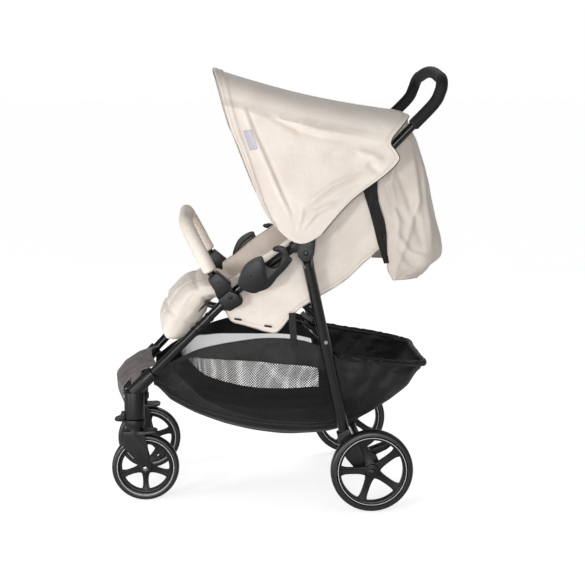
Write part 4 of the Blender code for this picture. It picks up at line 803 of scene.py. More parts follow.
def handle_route():
    """Centre line of the handle from its left pivot over the cross part to the right pivot."""
    start = Vector((HANDLE_PIVOT[0], -HINGE_Y, HANDLE_PIVOT[1]))
    grip = Vector(GRIP_START)
    begin = start + (grip - start).normalized() * 0.026
    half = [begin, begin.lerp(grip, 0.5)] + spline([grip, GRIP_KNEE, GRIP_BEND], 6)
    for rise, fall in quarter_turn(12):
        half.append(Vector((GRIP_BEND[0] + (GRIP_CROSS[0] - GRIP_BEND[0]) * rise,
                            GRIP_BEND[1] + GRIP_CORNER * (1 - fall),
                            GRIP_BEND[2] + (GRIP_CROSS[1] - GRIP_BEND[2]) * rise)))
    end = half[-1].copy()
    for k in range(1, 9):
        s = k / 8
        half.append(Vector((end.x + GRIP_ARCH * 0.15 * s, end.y * (1 - s),
                            end.z + GRIP_ARCH * (1 - (1 - s) ** 2))))
    return both_halves(half)


def bumper_route():
    """Centre line of the bumper bar from its left socket over the cross part to the right one."""
    foot = Vector(BUMPER_FOOT)
    corner = Vector((BUMPER_CROSS[0], BUMPER_FOOT[1], BUMPER_CROSS[1]))
    up = (corner - foot).normalized()
    half = [foot - up * 0.022, foot, foot + up * 0.02, foot + up * 0.045]
    for rise, fall in quarter_turn(12, 0):
        place = corner - up * (BUMPER_CORNER * (1 - rise))
        half.append(Vector((place.x, BUMPER_FOOT[1] + BUMPER_CORNER * (1 - fall), place.z)))
    return both_halves(half + [Vector((corner.x, y, corner.z)) for y in (-0.06, 0.0)])


def make_tube(node, body, shells):
    """A painted tube that stands for a node of the CAD model."""
    made(node + "_tube", shells, "paint", body, (node,))


# Raised rings of a front leg: distance up the leg, and height
LEG_RINGS = ((0.205, 0.0022), (0.222, 0.0022), (0.252, 0.0016))
RING_STEPS = (-0.004, -0.003, 0.003, 0.004)


def leg_shells(sign):
    """A front leg with its raised rings."""
    path = bend_path([LEG_FOOT, LEG_KNEE, LEG_TOP], 0.045, 10)
    route = [Vector((p.x, p.y * -sign, p.z)) for p in path]
    shells = [sweep(route, TUBE_RADII["front_leg"])]
    for distance, height in LEG_RINGS:
        def radius(share, height=height):
            return TUBE_RADII["front_leg"] + 0.0001 + (height if 0.2 < share < 0.8 else height * 0.3)
        centre, direction = at_length(route, distance)
        shells.append(sweep([centre + direction * step for step in RING_STEPS], radius))
    return shells


class PUSHCHAIR_OT_tubes(bpy.types.Operator):
    """Bent aluminium tubes of the frame, handle and bumper"""
    bl_idname = "pushchair.tubes"
    bl_label = "Tubes"

    def execute(self, context):
        make_tube("push_bar", "handle", [sweep(handle_route(), TUBE_RADII["push_bar"])])
        # The flattened ends of the push bar lie inside the hinge housings
        tangs = refined_mesh("push_bar", 0.0)
        tangs.name = "push_bar_tangs"
        keep_near(tangs, HANDLE_PIVOT, 0.036)
        finished(soften(tangs), "paint", "handle")
        make_tube("bumper_bar", "bumper", [sweep(bumper_route(), TUBE_RADII["bumper_bar"])])
        for side, sign in SIDES:
            make_tube(f"front_leg_{side}", "chassis", leg_shells(sign))
        return {"FINISHED"}


class PUSHCHAIR_OT_grip(bpy.types.Operator):
    """Foam sleeve round the top of the handle"""
    bl_idname = "pushchair.grip"
    bl_label = "Handle grip"

    def execute(self, context):
        covered = [p for p in handle_route() if p.x >= GRIP_START[0] - 1e-6]
        length = length_of(covered)

        def radius(share):
            return GRIP_RADIUS + GRIP_FOAM * end_rounding(share, length, 0.003)

        grip = made("handle_grip_foam", [sweep(resample(covered, 160), radius, 28)], "foam", "handle",
                    ("handle_grip",), 60.0)
        return {"FINISHED"}


# Wheels


def tyre_profile(radius, width):
    """Tyre section: crowned tread, round shoulders and a small bead line at the rim."""
    inner = radius - TYRE_WALL
    half = width / 2
    profile = [(inner, -half * 0.66), (inner + 0.002, -half * 0.8)]
    for k in range(15):
        a = math.radians(-90.0 + 180.0 * k / 14)
        across = math.copysign(abs(math.sin(a)) ** 0.62, math.sin(a))
        out = math.cos(a) ** 0.5 if abs(a) < math.pi / 2 - 1e-6 else 0.0
        profile.append((radius - 0.0125 + 0.0125 * out, half * across))
    return profile + [(inner + 0.002, half * 0.8), (inner, half * 0.66)]


def spoke_shell(centre, angle, inner, outer, half_width, depth):
    """A spoke with a raised face strip, flared where it meets the hub and the rim."""
    radial = Vector((math.cos(angle), 0.0, math.sin(angle)))
    across = Vector((-math.sin(angle), 0.0, math.cos(angle)))
    axial = Vector((0.0, 1.0, 0.0))
    rings = []
    steps = 18
    for i in range(steps + 1):
        share = i / steps
        r = inner + (outer - inner) * share
        flare = 0.55 * math.exp(-(r - inner) / 0.007) + 0.8 * math.exp(-(outer - r) / 0.0055)
        w = half_width * (0.86 + flare)
        d = depth * (1.0 - 0.22 * math.sin(math.pi * share))
        strip = half_width * 0.46
        section = ((-w, -d * 0.55), (-w * 0.92, -d * 0.78), (-strip * 1.15, -d * 0.8), (-strip, -d),
                   (strip, -d), (strip * 1.15, -d * 0.8), (w * 0.92, -d * 0.78), (w, -d * 0.55),
                   (w, d * 0.55), (w * 0.92, d * 0.78), (-w * 0.92, d * 0.78), (-w, d * 0.55))
        rings.append([Vector(centre) + radial * r + across * u + axial * v for u, v in section])
    return loft(rings)


def both_faces(profile):
    """A profile of (radius, y) and its mirror image in the wheel's middle plane."""
    return profile + [(r, -y) for r, y in reversed(profile)]


def make_wheel(side, sign, prefix, spec, first_spoke):
    """Tyre, rim with five spokes, pinstripe and hub of one wheel."""
    radius, width = spec["radius"], spec["width"]
    centre = (spec["x"], spec["y"] * sign, radius)
    body = f"{prefix}_wheel_{side}"
    made(f"{prefix}_tyre_{side}_foam", [lathe(tyre_profile(radius, width), centre, 128)], "tyre", body,
         (f"{prefix}_tyre_{side}",), 50.0)

    outer = radius - TYRE_WALL + 0.0002
    lip = outer + spec["lip"]
    half = width * 0.34
    edge = width / 2 * 0.93
    inner = radius * spec["well"]
    ring = both_faces([
        (inner, -half * 0.75), (inner + 0.0012, -half * 0.95), (outer - 0.002, -half), (outer, -edge),
        (lip - 0.0006, -edge - 0.0006), (lip, -edge + 0.0002), (lip - 0.0005, -edge + 0.002), (outer, -half * 0.5)])
    hub = [(HUB_RADIUS * r, width * y) for r, y in (
        (0.55, -0.47), (0.62, -0.44), (0.9, -0.42), (1.0, -0.36), (1.0, 0.36), (0.9, 0.42))]
    hub = [(0.0005, -width * 0.47)] + hub + [(0.0005, width * 0.42)]
    shells = [lathe(ring, centre), lathe(hub, centre, 48)]
    for i in range(SPOKES):
        angle = math.radians(first_spoke + i * 360.0 / SPOKES)
        shells.append(spoke_shell(centre, angle, HUB_RADIUS - 0.002, inner + 0.0015, radius * 0.0925, half * 0.86))
    made(f"{prefix}_rim_{side}_moulding", shells, "rim", body, (f"{prefix}_rim_{side}",), 28.0)
    stripes = []
    stripe = radius * spec["stripe"]
    for face in (-1.0, 1.0):
        y = face * (edge + 0.0006)
        top = y + face * 0.0005
        stripes.append(lathe([(stripe - 0.0007, y), (stripe - 0.0004, top), (stripe + 0.0004, top),
                              (stripe + 0.0007, y)], centre))
    made(f"{prefix}_rim_{side}_pinstripe", stripes, "stripe", body, angle=40.0)


# Profile of the rear hub cap: radius, and share of half the wheel's width
HUB_CAP = ((0.0004, 1.36), (0.004, 1.34), (0.0075, 1.27), (0.0088, 1.18), (0.0092, 1.14), (0.0118, 1.12),
           (0.0124, 1.05), (0.0124, 0.8), (0.0004, 0.8))


class PUSHCHAIR_OT_wheels(bpy.types.Operator):
    """Four wheels with foam tyres and five-spoke rims"""
    bl_idname = "pushchair.wheels"
    bl_label = "Wheels"

    def execute(self, context):
        for side, sign in SIDES:
            make_wheel(side, sign, "front", FRONT_WHEEL, 270.0 if side == "left" else 90.0)
            make_wheel(side, sign, "rear", REAR_WHEEL, 36.0)
            centre = (REAR_WHEEL["x"], REAR_WHEEL["y"] * sign, REAR_WHEEL["radius"])
            out = sign * REAR_WHEEL["width"] / 2
            cap = lathe([(r, out * share) for r, share in HUB_CAP], centre, 64)
            made(f"rear_hub_cap_{side}_dome", [cap], "black", f"rear_wheel_{side}", (f"rear_hub_cap_{side}",), 40.0)
        return {"FINISHED"}


# Mouldings


def refined_mesh(node, edge):
    """A merged copy of a CAD node's mesh, with flat faces joined and a small radius on its edges."""
    mesh = bpy.data.meshes.new(node + "_moulding")
    bm = bmesh.new()
    bm.from_mesh(frame["nodes"][node].data)
    bmesh.ops.remove_doubles(bm, verts=bm.verts, dist=1e-5)
    bmesh.ops.dissolve_limit(bm, angle_limit=math.radians(1.0), verts=bm.verts, edges=bm.edges)
    bm.to_mesh(mesh)
    bm.free()
    obj = linked(node + "_moulding", mesh)
    return bevelled(obj, edge, 32.0) if edge else obj


def bevelled(obj, width, angle):
    """The object with its sharper edges rounded."""
    return modified(obj, "BEVEL", width=width, segments=3, limit_method="ANGLE", angle_limit=math.radians(angle))


def keep_near(obj, centre, reach):
    """Delete the faces that aren't wholly within reach of a place in the side view, and close the holes."""
    def work(bm):
        gone = [f for f in bm.faces
                if not all(math.hypot(v.co.x - centre[0], v.co.z - centre[1]) < reach for v in f.verts)]
        bmesh.ops.delete(bm, geom=gone, context="FACES")
        bmesh.ops.holes_fill(bm, edges=[e for e in bm.edges if e.is_boundary])

    edit_mesh(obj.data, work)


# Outlines in the side view: the hook's cover and body, and the bumper socket's two halves and core
HOOK_LEAF = ((-0.0954, 0.5259), (-0.0908, 0.5486), (-0.0795, 0.57), (-0.0626, 0.5834), (-0.0458, 0.59),
             (-0.039, 0.5866), (-0.0346, 0.5696), (-0.0324, 0.5481), (-0.0291, 0.5367), (-0.0347, 0.5231),
             (-0.0483, 0.5096), (-0.0629, 0.5063), (-0.082, 0.5133))
HOOK_BODY = ((-0.0412, 0.5839), (-0.0344, 0.5725), (-0.0266, 0.5657), (-0.0176, 0.5627), (-0.0063, 0.5655),
             (0.0016, 0.5757), (0.0049, 0.5892), (0.0, 0.5983), (-0.0097, 0.6011), (-0.0164, 0.6041),
             (-0.0119, 0.609), (-0.0007, 0.6116), (0.0128, 0.6072), (0.0196, 0.5959), (0.0207, 0.5868),
             (0.0274, 0.5811), (0.0105, 0.5586), (-0.0064, 0.5417), (-0.0211, 0.5225), (-0.0369, 0.5124),
             (-0.0571, 0.5092), (-0.0751, 0.5184), (-0.084, 0.53), (-0.076, 0.556), (-0.06, 0.572))
SOCKET_UPPER = ((-0.1624, 0.5318), (-0.1426, 0.5504), (-0.1092, 0.5233), (-0.115, 0.5096), (-0.1412, 0.488),
                (-0.1479, 0.5076))
SOCKET_LOWER = ((-0.1405, 0.4869), (-0.1143, 0.5091), (-0.0957, 0.5009), (-0.0826, 0.4863), (-0.0856, 0.476),
                (-0.1119, 0.4606), (-0.1232, 0.4626))
SOCKET_FLANK = ((-0.159, 0.531), (-0.143, 0.547), (-0.096, 0.498), (-0.086, 0.486), (-0.088, 0.477),
                (-0.1115, 0.464), (-0.1215, 0.4655))


def rounded_outline(points, steps):
    """A closed outline in the side view, made smooth through its points."""
    pts = in_side_view(points)
    return [(p.x, p.z) for p in spline([pts[-1]] + pts + pts[:2], steps)[steps:-steps - 1]]


def plate(name, outline, sign, near, far, edge):
    """A plate with rounded edges, from its outline in the side view and two distances from the middle."""
    rings = [[(x, y, z) for x, z in outline] for y in sorted((sign * near, sign * far))]
    return soften(bevelled(build(name, [loft(rings)]), edge, 40.0), 40.0)


def joined(name, pieces):
    """Several finished meshes as one object."""
    mesh = bpy.data.meshes.new(name)
    bm = bmesh.new()
    for piece in pieces:
        bm.from_mesh(piece.data)
        bpy.data.objects.remove(piece)
    bm.to_mesh(mesh)
    bm.free()
    return soften(linked(name, mesh), 40.0)


def make_hook(side, sign):
    """Fold hook: a thick body with its open hook, and a leaf-shaped cover with a raised band."""
    centre = Vector((-0.06, 0.545))
    outline = rounded_outline(HOOK_BODY, 3)
    leaf = rounded_outline(HOOK_LEAF, 4)
    inset = rounded_outline([tuple(centre + (Vector(p) - centre) * 0.84) for p in HOOK_LEAF], 4)
    lip = [Vector((x, sign * 0.2585, z)) for x, z in outline[1:31]]
    return joined(f"fold_hook_{side}_moulding", [
        plate("hook_body", outline, sign, 0.2335, 0.2588, 0.0022),
        plate("hook_leaf", leaf, sign, 0.256, 0.2622, 0.0016),
        plate("hook_face", inset, sign, 0.26, 0.2634, 0.0008),
        soften(build("hook_rim", [sweep(lip, 0.0011, 8)]))])


def make_socket(side, sign):
    """Bumper socket: two mouldings with a seam between them, over a common core."""
    return joined(f"bumper_socket_{side}_moulding", [
        plate("socket_upper", SOCKET_UPPER, sign, 0.1835, 0.2282, 0.0024),
        plate("socket_lower", SOCKET_LOWER, sign, 0.1815, 0.2285, 0.0028),
        plate("socket_core", SOCKET_FLANK, sign, 0.185, 0.2255, 0.0015)])


# Finishes of the nodes that keep their CAD shape with softened edges, single ones and those of both sides
SINGLE_NODES = {"footrest": "ribbed", "rear_axle_tube": "paint", "basket_frame": "paint", "seat_frame": "paint",
                "canopy_bow": "paint", "backrest_board": "webbing", "calf_board": "webbing"}
PAIRED_NODES = {"castor_fork": "black", "castor_housing": "black", "swivel_lock": "black", "bumper_button": "black",
                "rear_foot": "black", "brake_pedal": "black", "hinge_housing": "grey", "front_axle_bolt": "steel",
                "rear_pivot_pin": "pin", "handle_pivot_pin": "pin", "rear_leg": "paint"}


class PUSHCHAIR_OT_mouldings(bpy.types.Operator):
    """Moulded joints, forks, footrest, feet and pedals with rounded edges"""
    bl_idname = "pushchair.mouldings"
    bl_label = "Mouldings"

    def execute(self, context):
        nodes = dict(SINGLE_NODES)
        for kind, finish in PAIRED_NODES.items():
            nodes.update({f"{kind}_{side}": finish for side, _ in SIDES})
        edge = context.scene.pushchair_sizes.edge
        rounding = {"paint": 0.0, "steel": edge * 0.5}
        for node, finish in nodes.items():
            piece = soften(refined_mesh(node, rounding.get(finish, edge)), 32.0)
            finished(piece, finish, frame["nodes"][node]["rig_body"], (node,))
        for side, sign in SIDES:
            finished(make_hook(side, sign), "black", "chassis", (f"fold_hook_{side}",))
            finished(make_socket(side, sign), "black", "chassis", (f"bumper_socket_{side}",))
        return {"FINISHED"}


# Canopy


def line_share(points, share):
    """Point at a share of the length of a path."""
    return at_length(points, share * length_of(points))[0]


FRONT_LINE = spline(in_side_view(CANOPY_FRONT_EDGE), 8)
REAR_LINE = spline(in_side_view(CANOPY_REAR_EDGE), 5)


def canopy_place(t, s):
    """Side view of the canopy: t runs from its front edge to its rear edge, s from the tip up."""
    p = line_share(FRONT_LINE, s).lerp(line_share(REAR_LINE, s), t)
    swell = math.sin(math.pi * t)
    p.z -= 0.03 * swell * (1 - s) ** 3 + 0.012 * swell * s ** 4
    return p


def canopy_half_width(t, p):
    """Half width of the canopy's side at a point of the side view."""
    return CANOPY_TIP_Y - (0.15 - 0.085 * t) * math.hypot(p.x - CANOPY_TIP[0], p.z - CANOPY_TIP[1])


def nearness(p, line, width):
    """1 on a line in the side view, fading to 0 across its width and towards its ends."""
    best, best_share = 1.0, 0.5
    last = len(line) - 1
    for i, (a, b) in enumerate(zip(line, line[1:])):
        ax, az, bx, bz = a[0], a[1], b[0], b[1]
        dx, dz = bx - ax, bz - az
        t = max(0.0, min(1.0, ((p.x - ax) * dx + (p.z - az) * dz) / (dx * dx + dz * dz)))
        d = math.hypot(p.x - ax - dx * t, p.z - az - dz * t)
        if d < best:
            best, best_share = d, (i + t) / last
    fade = min(1.0, 4.0 * min(best_share, 1 - best_share) + 0.15)
    return math.exp(-(best / width) ** 2) * fade


def relief_at(p, creases):
    """Height of all the creases of a table at a point of the side view."""
    return sum(nearness(p, line, width) * height for line, height, width in creases)


# Ridges and dents in the canopy's side: line in the side view, height and width
CANOPY_RELIEF = (
    (((-0.088, 0.938), (-0.062, 0.871), (-0.033, 0.805), (-0.005, 0.739), (0.0215, 0.681)), 0.003, 0.005),
    (((-0.078, 0.934), (-0.052, 0.867), (-0.023, 0.801), (0.005, 0.735), (0.0315, 0.677)), -0.0022, 0.005),
    (((-0.065, 0.935), (-0.039, 0.926), (0.0145, 0.893), (0.081, 0.871), (0.2157, 0.851)), 0.004, 0.007),
    (((-0.056, 0.918), (-0.03, 0.911), (0.02, 0.88), (0.084, 0.858), (0.21, 0.84)), -0.0024, 0.008),
    (((0.053, 0.705), (0.116, 0.749), (0.19, 0.778)), 0.0036, 0.0055),
    (((0.06, 0.69), (0.126, 0.733), (0.205, 0.765)), -0.003, 0.0065),
    (((0.12, 0.752), (0.175, 0.785), (0.225, 0.815)), 0.002, 0.006),
    (((0.045, 0.648), (0.08, 0.69), (0.135, 0.715)), 0.0032, 0.0055),
    (((0.038, 0.65), (0.046, 0.672), (0.05, 0.7)), 0.0018, 0.0045),
    (((0.09, 0.8), (0.15, 0.835), (0.235, 0.84)), -0.0034, 0.012),
    (((0.0, 0.9), (0.027, 0.887), (0.05, 0.86)), -0.0034, 0.009),
    (((0.195, 0.8), (0.206, 0.79), (0.225, 0.775)), -0.0034, 0.008),
    (((0.17, 0.826), (0.205, 0.815), (0.232, 0.8)), 0.003, 0.006),
)


def canopy_rows(starts, sides, lift=0.0):
    """Rows of points over the canopy, one for each t, from the left tip over the roof to the right tip."""
    shoulder = 1.0 - CANOPY_CORNER / CANOPY_SIDE
    rows = []
    for t in starts:
        half = []
        for k in range(sides + 1):
            p = canopy_place(t, shoulder * (k / sides) ** 0.9)
            relief = RELIEF_GAIN * relief_at(p, CANOPY_RELIEF)
            relief += 0.0016 * noise.noise(Vector((p.x * 16, 3.1, p.z * 16)))
            half.append(Vector((p.x, -canopy_half_width(t, p) - relief - lift, p.z)))
        top = canopy_place(t, 1.0)
        y_top = canopy_half_width(t, top)
        for rise, fall in quarter_turn(10):
            p = canopy_place(t, shoulder + (1.0 - shoulder) * rise)
            out = Vector((0.0, -fall, rise)) * lift
            half.append(Vector((p.x, -y_top + CANOPY_CORNER * (1 - fall), p.z)) + out)
        for k in range(1, 10):
            s = k / 10
            y = (-y_top + CANOPY_CORNER) * (1 - s)
            # Small gathers run across the roof between the bows
            gather = 0.0009 * math.sin(top.x * 560.0 + 2.0 * noise.noise(Vector((top.x * 30, y * 9, 0.0))))
            arch = ROOF_RISE * (1 - (1 - s) ** 2)
            half.append(Vector((top.x, y, top.z + arch + gather * math.sin(math.pi * s) + lift)))
        rows.append(both_halves(half + [Vector((top.x, 0.0, top.z + ROOF_RISE + lift))]))
    return rows


def on_canopy(x, z, rows, lift):
    """Point just outside the left side of the canopy at a place in the side view."""
    near = min((p for row in rows for p in row[:65]), key=lambda p: (p.x - x) ** 2 + (p.z - z) ** 2)
    return Vector((x, near.y - lift, z))


# Bodies of the bow in front and of the frame at the back, with a place for each; a piece given them is only baked
# where it is built
CANOPY_BLEND = ("canopy", "chassis", (-0.1, 0.0, 1.0), (0.27, 0.0, 0.86))
TAG_CORNERS = ((-0.0818, 0.869), (-0.0639, 0.873), (-0.0486, 0.829), (-0.0667, 0.825))
TAG_CENTRE = (-0.0652, 0.849)
PULL_LOOP = (0.0905, -0.27, 0.6425)
CANOPY_STEPS = 104
CANOPY_SIDES = 64
HEM_LIFT, HEM_CLOTH = 0.0022, 0.0026
HEM_SEAMS, REAR_SEAM = (0.016, 0.042), 0.972


class PUSHCHAIR_OT_canopy(bpy.types.Operator):
    """Canopy cloth with its hem, piping, stitching and bare tag"""
    bl_idname = "pushchair.canopy"
    bl_label = "Canopy"

    def execute(self, context):
        sizes = context.scene.pushchair_sizes
        rows = canopy_rows(evenly(0.0, 1.0, CANOPY_STEPS), CANOPY_SIDES)
        cloth = sheet_mesh("canopy_cloth", rows, sizes.cloth)
        finished(cloth, "canvas", CANOPY_BLEND, ("canopy_fabric",))
        hem_rows = canopy_rows([i / 100 for i in range(6)], CANOPY_SIDES, HEM_LIFT)
        hem = sheet_mesh("canopy_hem", hem_rows, HEM_CLOTH)
        finished(hem, "canvas", CANOPY_BLEND)
        rim = piping("canopy_front_piping", canopy_rows([0.0], 60), sizes.piping, 10, "thread", CANOPY_BLEND)
        dark = piping("canopy_rear_piping", canopy_rows([1.0], 60), 0.0012, 10, "webbing", CANOPY_BLEND)
        lines = canopy_rows(HEM_SEAMS, 60, 0.004) + canopy_rows([REAR_SEAM], 60, HEM_LIFT)
        stitches = stitched("canopy_hem_stitches", lines, CANOPY_BLEND)

        corners = [Vector(corner) for corner in TAG_CORNERS]
        tag_rows = []
        for i in range(9):
            left, right = corners[0].lerp(corners[3], i / 8), corners[1].lerp(corners[2], i / 8)
            tag_rows.append([on_canopy(*left.lerp(right, k / 5), rows, 0.002) for k in range(6)])
        tag = finished(sheet_mesh("canopy_tag", tag_rows, 0.001), "tag", CANOPY_BLEND)
        border = [corners[i % 4].lerp(Vector(TAG_CENTRE), 0.13) for i in range(5)]
        ring = [on_canopy(*border[i].lerp(border[i + 1], k / 6), rows, 0.003) for i in range(4) for k in range(7)]
        tag_stitch = stitched("canopy_tag_stitches", [ring], CANOPY_BLEND, 0.0032, 0.0007)

        loop = ring_points(PULL_LOOP, 0.005, 28, 0.001)
        tab = made("canopy_pull_loop", [sweep(loop, 0.0008, 8, True)], "thread", CANOPY_BLEND)
        return {"FINISHED"}


# Rear drape


# Creases in the drape's sides: line in the side view, height and width
DRAPE_CREASES = (
    (((0.298, 0.846), (0.316, 0.709), (0.29, 0.618), (0.262, 0.537)), 0.0046, 0.007),
    (((0.272, 0.84), (0.252, 0.75), (0.272, 0.66), (0.268, 0.56)), 0.0038, 0.006),
    (((0.262, 0.8), (0.3, 0.7), (0.33, 0.6)), -0.0044, 0.009),
    (((0.255, 0.65), (0.3, 0.59), (0.345, 0.575)), 0.0036, 0.006),
    (((0.262, 0.6), (0.29, 0.56), (0.33, 0.535)), 0.0036, 0.006),
    (((0.32, 0.83), (0.333, 0.72), (0.35, 0.6)), 0.0036, 0.0065),
    (((0.24, 0.745), (0.262, 0.7), (0.3, 0.65)), -0.0034, 0.007),
)


def drape_row(z, lift=0.0):
    """One level of the drape, from its left edge round the back to its right edge."""
    x_side, x_back, half = lerp_table(DRAPE_LEVELS[::-1], z)
    corner = DRAPE_CORNER
    straight = [Vector((x_side, -half, z)), Vector(((x_side + x_back - corner) / 2, -half - 0.003, z))]
    arc = [Vector((x_back - corner + corner * rise, -half + corner * (1 - fall), z))
           for rise, fall in quarter_turn(10, 0)]
    flat = [Vector((x_back + 0.0096, -half * 0.4, z)), Vector((x_back + 0.01275, -half * 0.1, z)),
            Vector((x_back + 0.01275, 0.0, z))]
    base = spline(straight + arc[::2] + flat, 10)
    low = 1 - (z - DRAPE_FOOT) / DRAPE_DROP
    points = []
    run = 0.0
    for i, p in enumerate(base):
        before, after = base[max(i - 1, 0)], base[min(i + 1, len(base) - 1)]
        run += (p - before).length
        along = (after - before).normalized()
        out = Vector((-along.y, along.x, 0.0)) * -1.0
        pull = math.exp(-((z - DRAPE_TOP) / 0.04) ** 2)
        wave = 0.0016 * pull * math.sin(run * 420.0)
        wave += 0.0045 * low * math.sin(run * 62.0 + 5.0 * z + 1.4 * noise.noise(Vector((run * 9, z * 7, 1.0))))
        wave += 0.003 * noise.noise(Vector((run * 14, z * 9, 4.0)))
        wave += RELIEF_GAIN * relief_at(p, DRAPE_CREASES)
        ease = min(1.0, run / 0.03)
        points.append(p + out * (wave * (0.35 + 0.65 * ease) + lift))
    points[-1].y = 0.0
    return points


class PUSHCHAIR_OT_drape(bpy.types.Operator):
    """Gathered cloth that hangs behind the backrest"""
    bl_idname = "pushchair.drape"
    bl_label = "Rear drape"

    def execute(self, context):
        steps = 92
        rows = [both_halves(drape_row(DRAPE_TOP - DRAPE_DROP * i / steps)) for i in range(steps + 1)]
        cloth = sheet_mesh("rear_drape_cloth", rows, context.scene.pushchair_sizes.cloth)
        # The drape's finish is the canvas darkened with painted shade.
        finished(cloth, "drape", "chassis", ("rear_drape",))
        edges = [rows[0], rows[-1], [row[0] for row in rows], [row[-1] for row in rows]]
        hem = piping("rear_drape_piping", edges, 0.0016, 8, "thread", "chassis")
        lines = [both_halves(drape_row(height, 0.0014)) for height in (0.88, 0.872, 0.536)]
        stitches = stitched("rear_drape_stitches", lines, "chassis")
        return {"FINISHED"}


# Seat


PANEL_CLOTH = 0.0026
# Folds in the seat's side panels: line in the side view, height and width
PANEL_FOLDS = (
    (((-0.09, 0.48), (-0.03, 0.49), (0.03, 0.52), (0.09, 0.57)), 0.0035, 0.009),
    (((-0.075, 0.455), (-0.02, 0.455), (0.04, 0.49)), -0.003, 0.009),
    (((0.02, 0.56), (0.09, 0.6), (0.16, 0.66), (0.2, 0.72)), 0.0035, 0.01),
    (((0.06, 0.52), (0.12, 0.56), (0.19, 0.62), (0.23, 0.68)), -0.0032, 0.011),
    (((0.1, 0.52), (0.16, 0.57), (0.22, 0.61)), 0.003, 0.009),
    (((-0.02, 0.43), (0.03, 0.462), (0.09, 0.505)), 0.0028, 0.005),
    (((-0.095, 0.437), (-0.06, 0.446), (-0.02, 0.452)), 0.0026, 0.004),
    (((-0.07, 0.426), (-0.045, 0.452), (-0.03, 0.48)), 0.0024, 0.005),
)


def panel_rows(sign, starts, lift=0.0, low=0.0, high=1.0, count=26):
    """Rows of the seat's side panel along x, from its lower hem to its upper edge."""
    rows = []
    for x in starts:
        top, bottom, y = lerp_table(SIDE_PANEL, x)
        row = []
        for k in range(count + 1):
            v = low + (high - low) * k / count
            p = Vector((x, 0.0, bottom + (top - bottom) * v))
            fold = relief_at(p, PANEL_FOLDS)
            fold += 0.0018 * noise.noise(Vector((x * 18, sign * 2.0, p.z * 18)))
            p.y = sign * (y + 0.004 * math.sin(math.pi * v) + fold * min(1.0, 6 * v * (1 - v) + 0.15) + lift)
            row.append(p)
        rows.append(row)
    return rows


def smooth_pad(name, path, half_width, thickness, segments=40):
    """A crowned pad along a path of (x, z), with drawn-in ends and sides that pull in."""
    points = in_side_view(path)
    rings = []
    last = len(points) - 1
    for i, point in enumerate(points):
        s = i / last
        ahead = (points[min(i + 1, last)] - points[max(i - 1, 0)]).normalized()
        normal = Vector((-ahead.z, 0.0, ahead.x))
        taper = max(0.22, (1.0 - abs(2 * s - 1) ** 9.0) ** 0.5)
        width = (half_width[0] + (half_width[1] - half_width[0]) * s) * (0.95 + 0.05 * taper)
        share = max(0.0, min(1.0, (s - 0.3) / 0.45))
        depth = thickness[0] + (thickness[1] - thickness[0]) * share * share * (3.0 - 2.0 * share)
        ring = []
        for k in range(segments):
            a = math.tau * k / segments
            c, d = math.cos(a), math.sin(a)
            y = width * math.copysign(abs(c) ** 0.42, c)
            crown = 0.74 + 0.26 * (1 - abs(c)) ** 0.7
            n = 0.5 * depth * taper * crown * math.copysign(abs(d) ** 0.6, d)
            ring.append(point + normal * n + Vector((0.0, y, 0.0)))
        rings.append(ring)
    return build(name, [loft(rings)])


# Voxel size of the pads, the furthest that air may move a point, and the settings of the simulation
PAD_VOXEL = 0.005
PAD_CAP = 0.006
SWELL_FRAMES = 20
SWELL_CLOTH = {"quality": 6, "mass": 0.3, "use_pressure": True, "uniform_pressure_force": 4.0,
               "tension_stiffness": 12.0, "bending_stiffness": 0.8}


def swell(obj):
    """Fill a pad with air in a cloth simulation, and keep each point within the cap of where it was."""
    modified(obj, "REMESH", mode="VOXEL", voxel_size=PAD_VOXEL)
    start = [v.co.copy() for v in obj.data.vertices]
    cloth = obj.modifiers.new("Swell", "CLOTH")
    for key, value in SWELL_CLOTH.items():
        setattr(cloth.settings, key, value)
    cloth.settings.effector_weights.gravity = 0.0
    cloth.point_cache.frame_start = 1
    cloth.point_cache.frame_end = SWELL_FRAMES
    scene = bpy.context.scene
    for number in range(1, SWELL_FRAMES + 1):
        scene.frame_set(number)
    plain(obj)
    scene.frame_set(1)
    for vertex, place in zip(obj.data.vertices, start):
        move = vertex.co - place
        if move.length > PAD_CAP:
            vertex.co = place + move.normalized() * PAD_CAP


def sewn(obj, path, seams, along, width=0.0055, depth=0.3, deepest=0.0042):
    """Press sewn channels into a pad: across it at distances along its path, and lengthways at values of y."""
    points = in_side_view(path)
    total = length_of(points)
    count = 160
    fine = [at_length(points, distance) for distance in evenly(0.0, total, count)]
    tree = kdtree.KDTree(count + 1)
    for i, (p, _) in enumerate(fine):
        tree.insert(p, i)
    tree.balance()
    for vertex in obj.data.vertices:
        flat = Vector((vertex.co.x, 0.0, vertex.co.z))
        centre, i, _ = tree.find(flat)
        ahead = fine[i][1]
        normal = Vector((-ahead.z, 0.0, ahead.x))
        h = (flat - centre).dot(normal)
        a = total * i / count + (flat - centre).dot(ahead)
        groove = sum(math.exp(-((a - c) / width) ** 2) for c in seams)
        groove += sum(math.exp(-((vertex.co.y - y) / width) ** 2) for y in along)
        ripple = 0.07 * noise.noise(Vector((a * 45, vertex.co.y * 30, 2.0)))
        pull = math.copysign(min(abs(h) * depth, deepest), h)
        vertex.co -= normal * (pull * min(1.0, groove) + h * ripple)


# Middle line of the calf rest and the seat, and the two ends of the backrest's, in the side view
SEAT_LINE = ((-0.255, 0.379), (-0.237, 0.409), (-0.218, 0.439), (-0.198, 0.469), (-0.177, 0.488),
             (-0.15, 0.495), (-0.118, 0.487), (-0.085, 0.4698), (-0.046, 0.456))
BACK_ENDS = (Vector((-0.0205, 0.0, 0.4638)), Vector((0.231, 0.0, 0.66)))
SEAT_BLEND = ("chassis", "calf_rest", (-0.15, 0.0, 0.5), (-0.196, 0.0, 0.472))


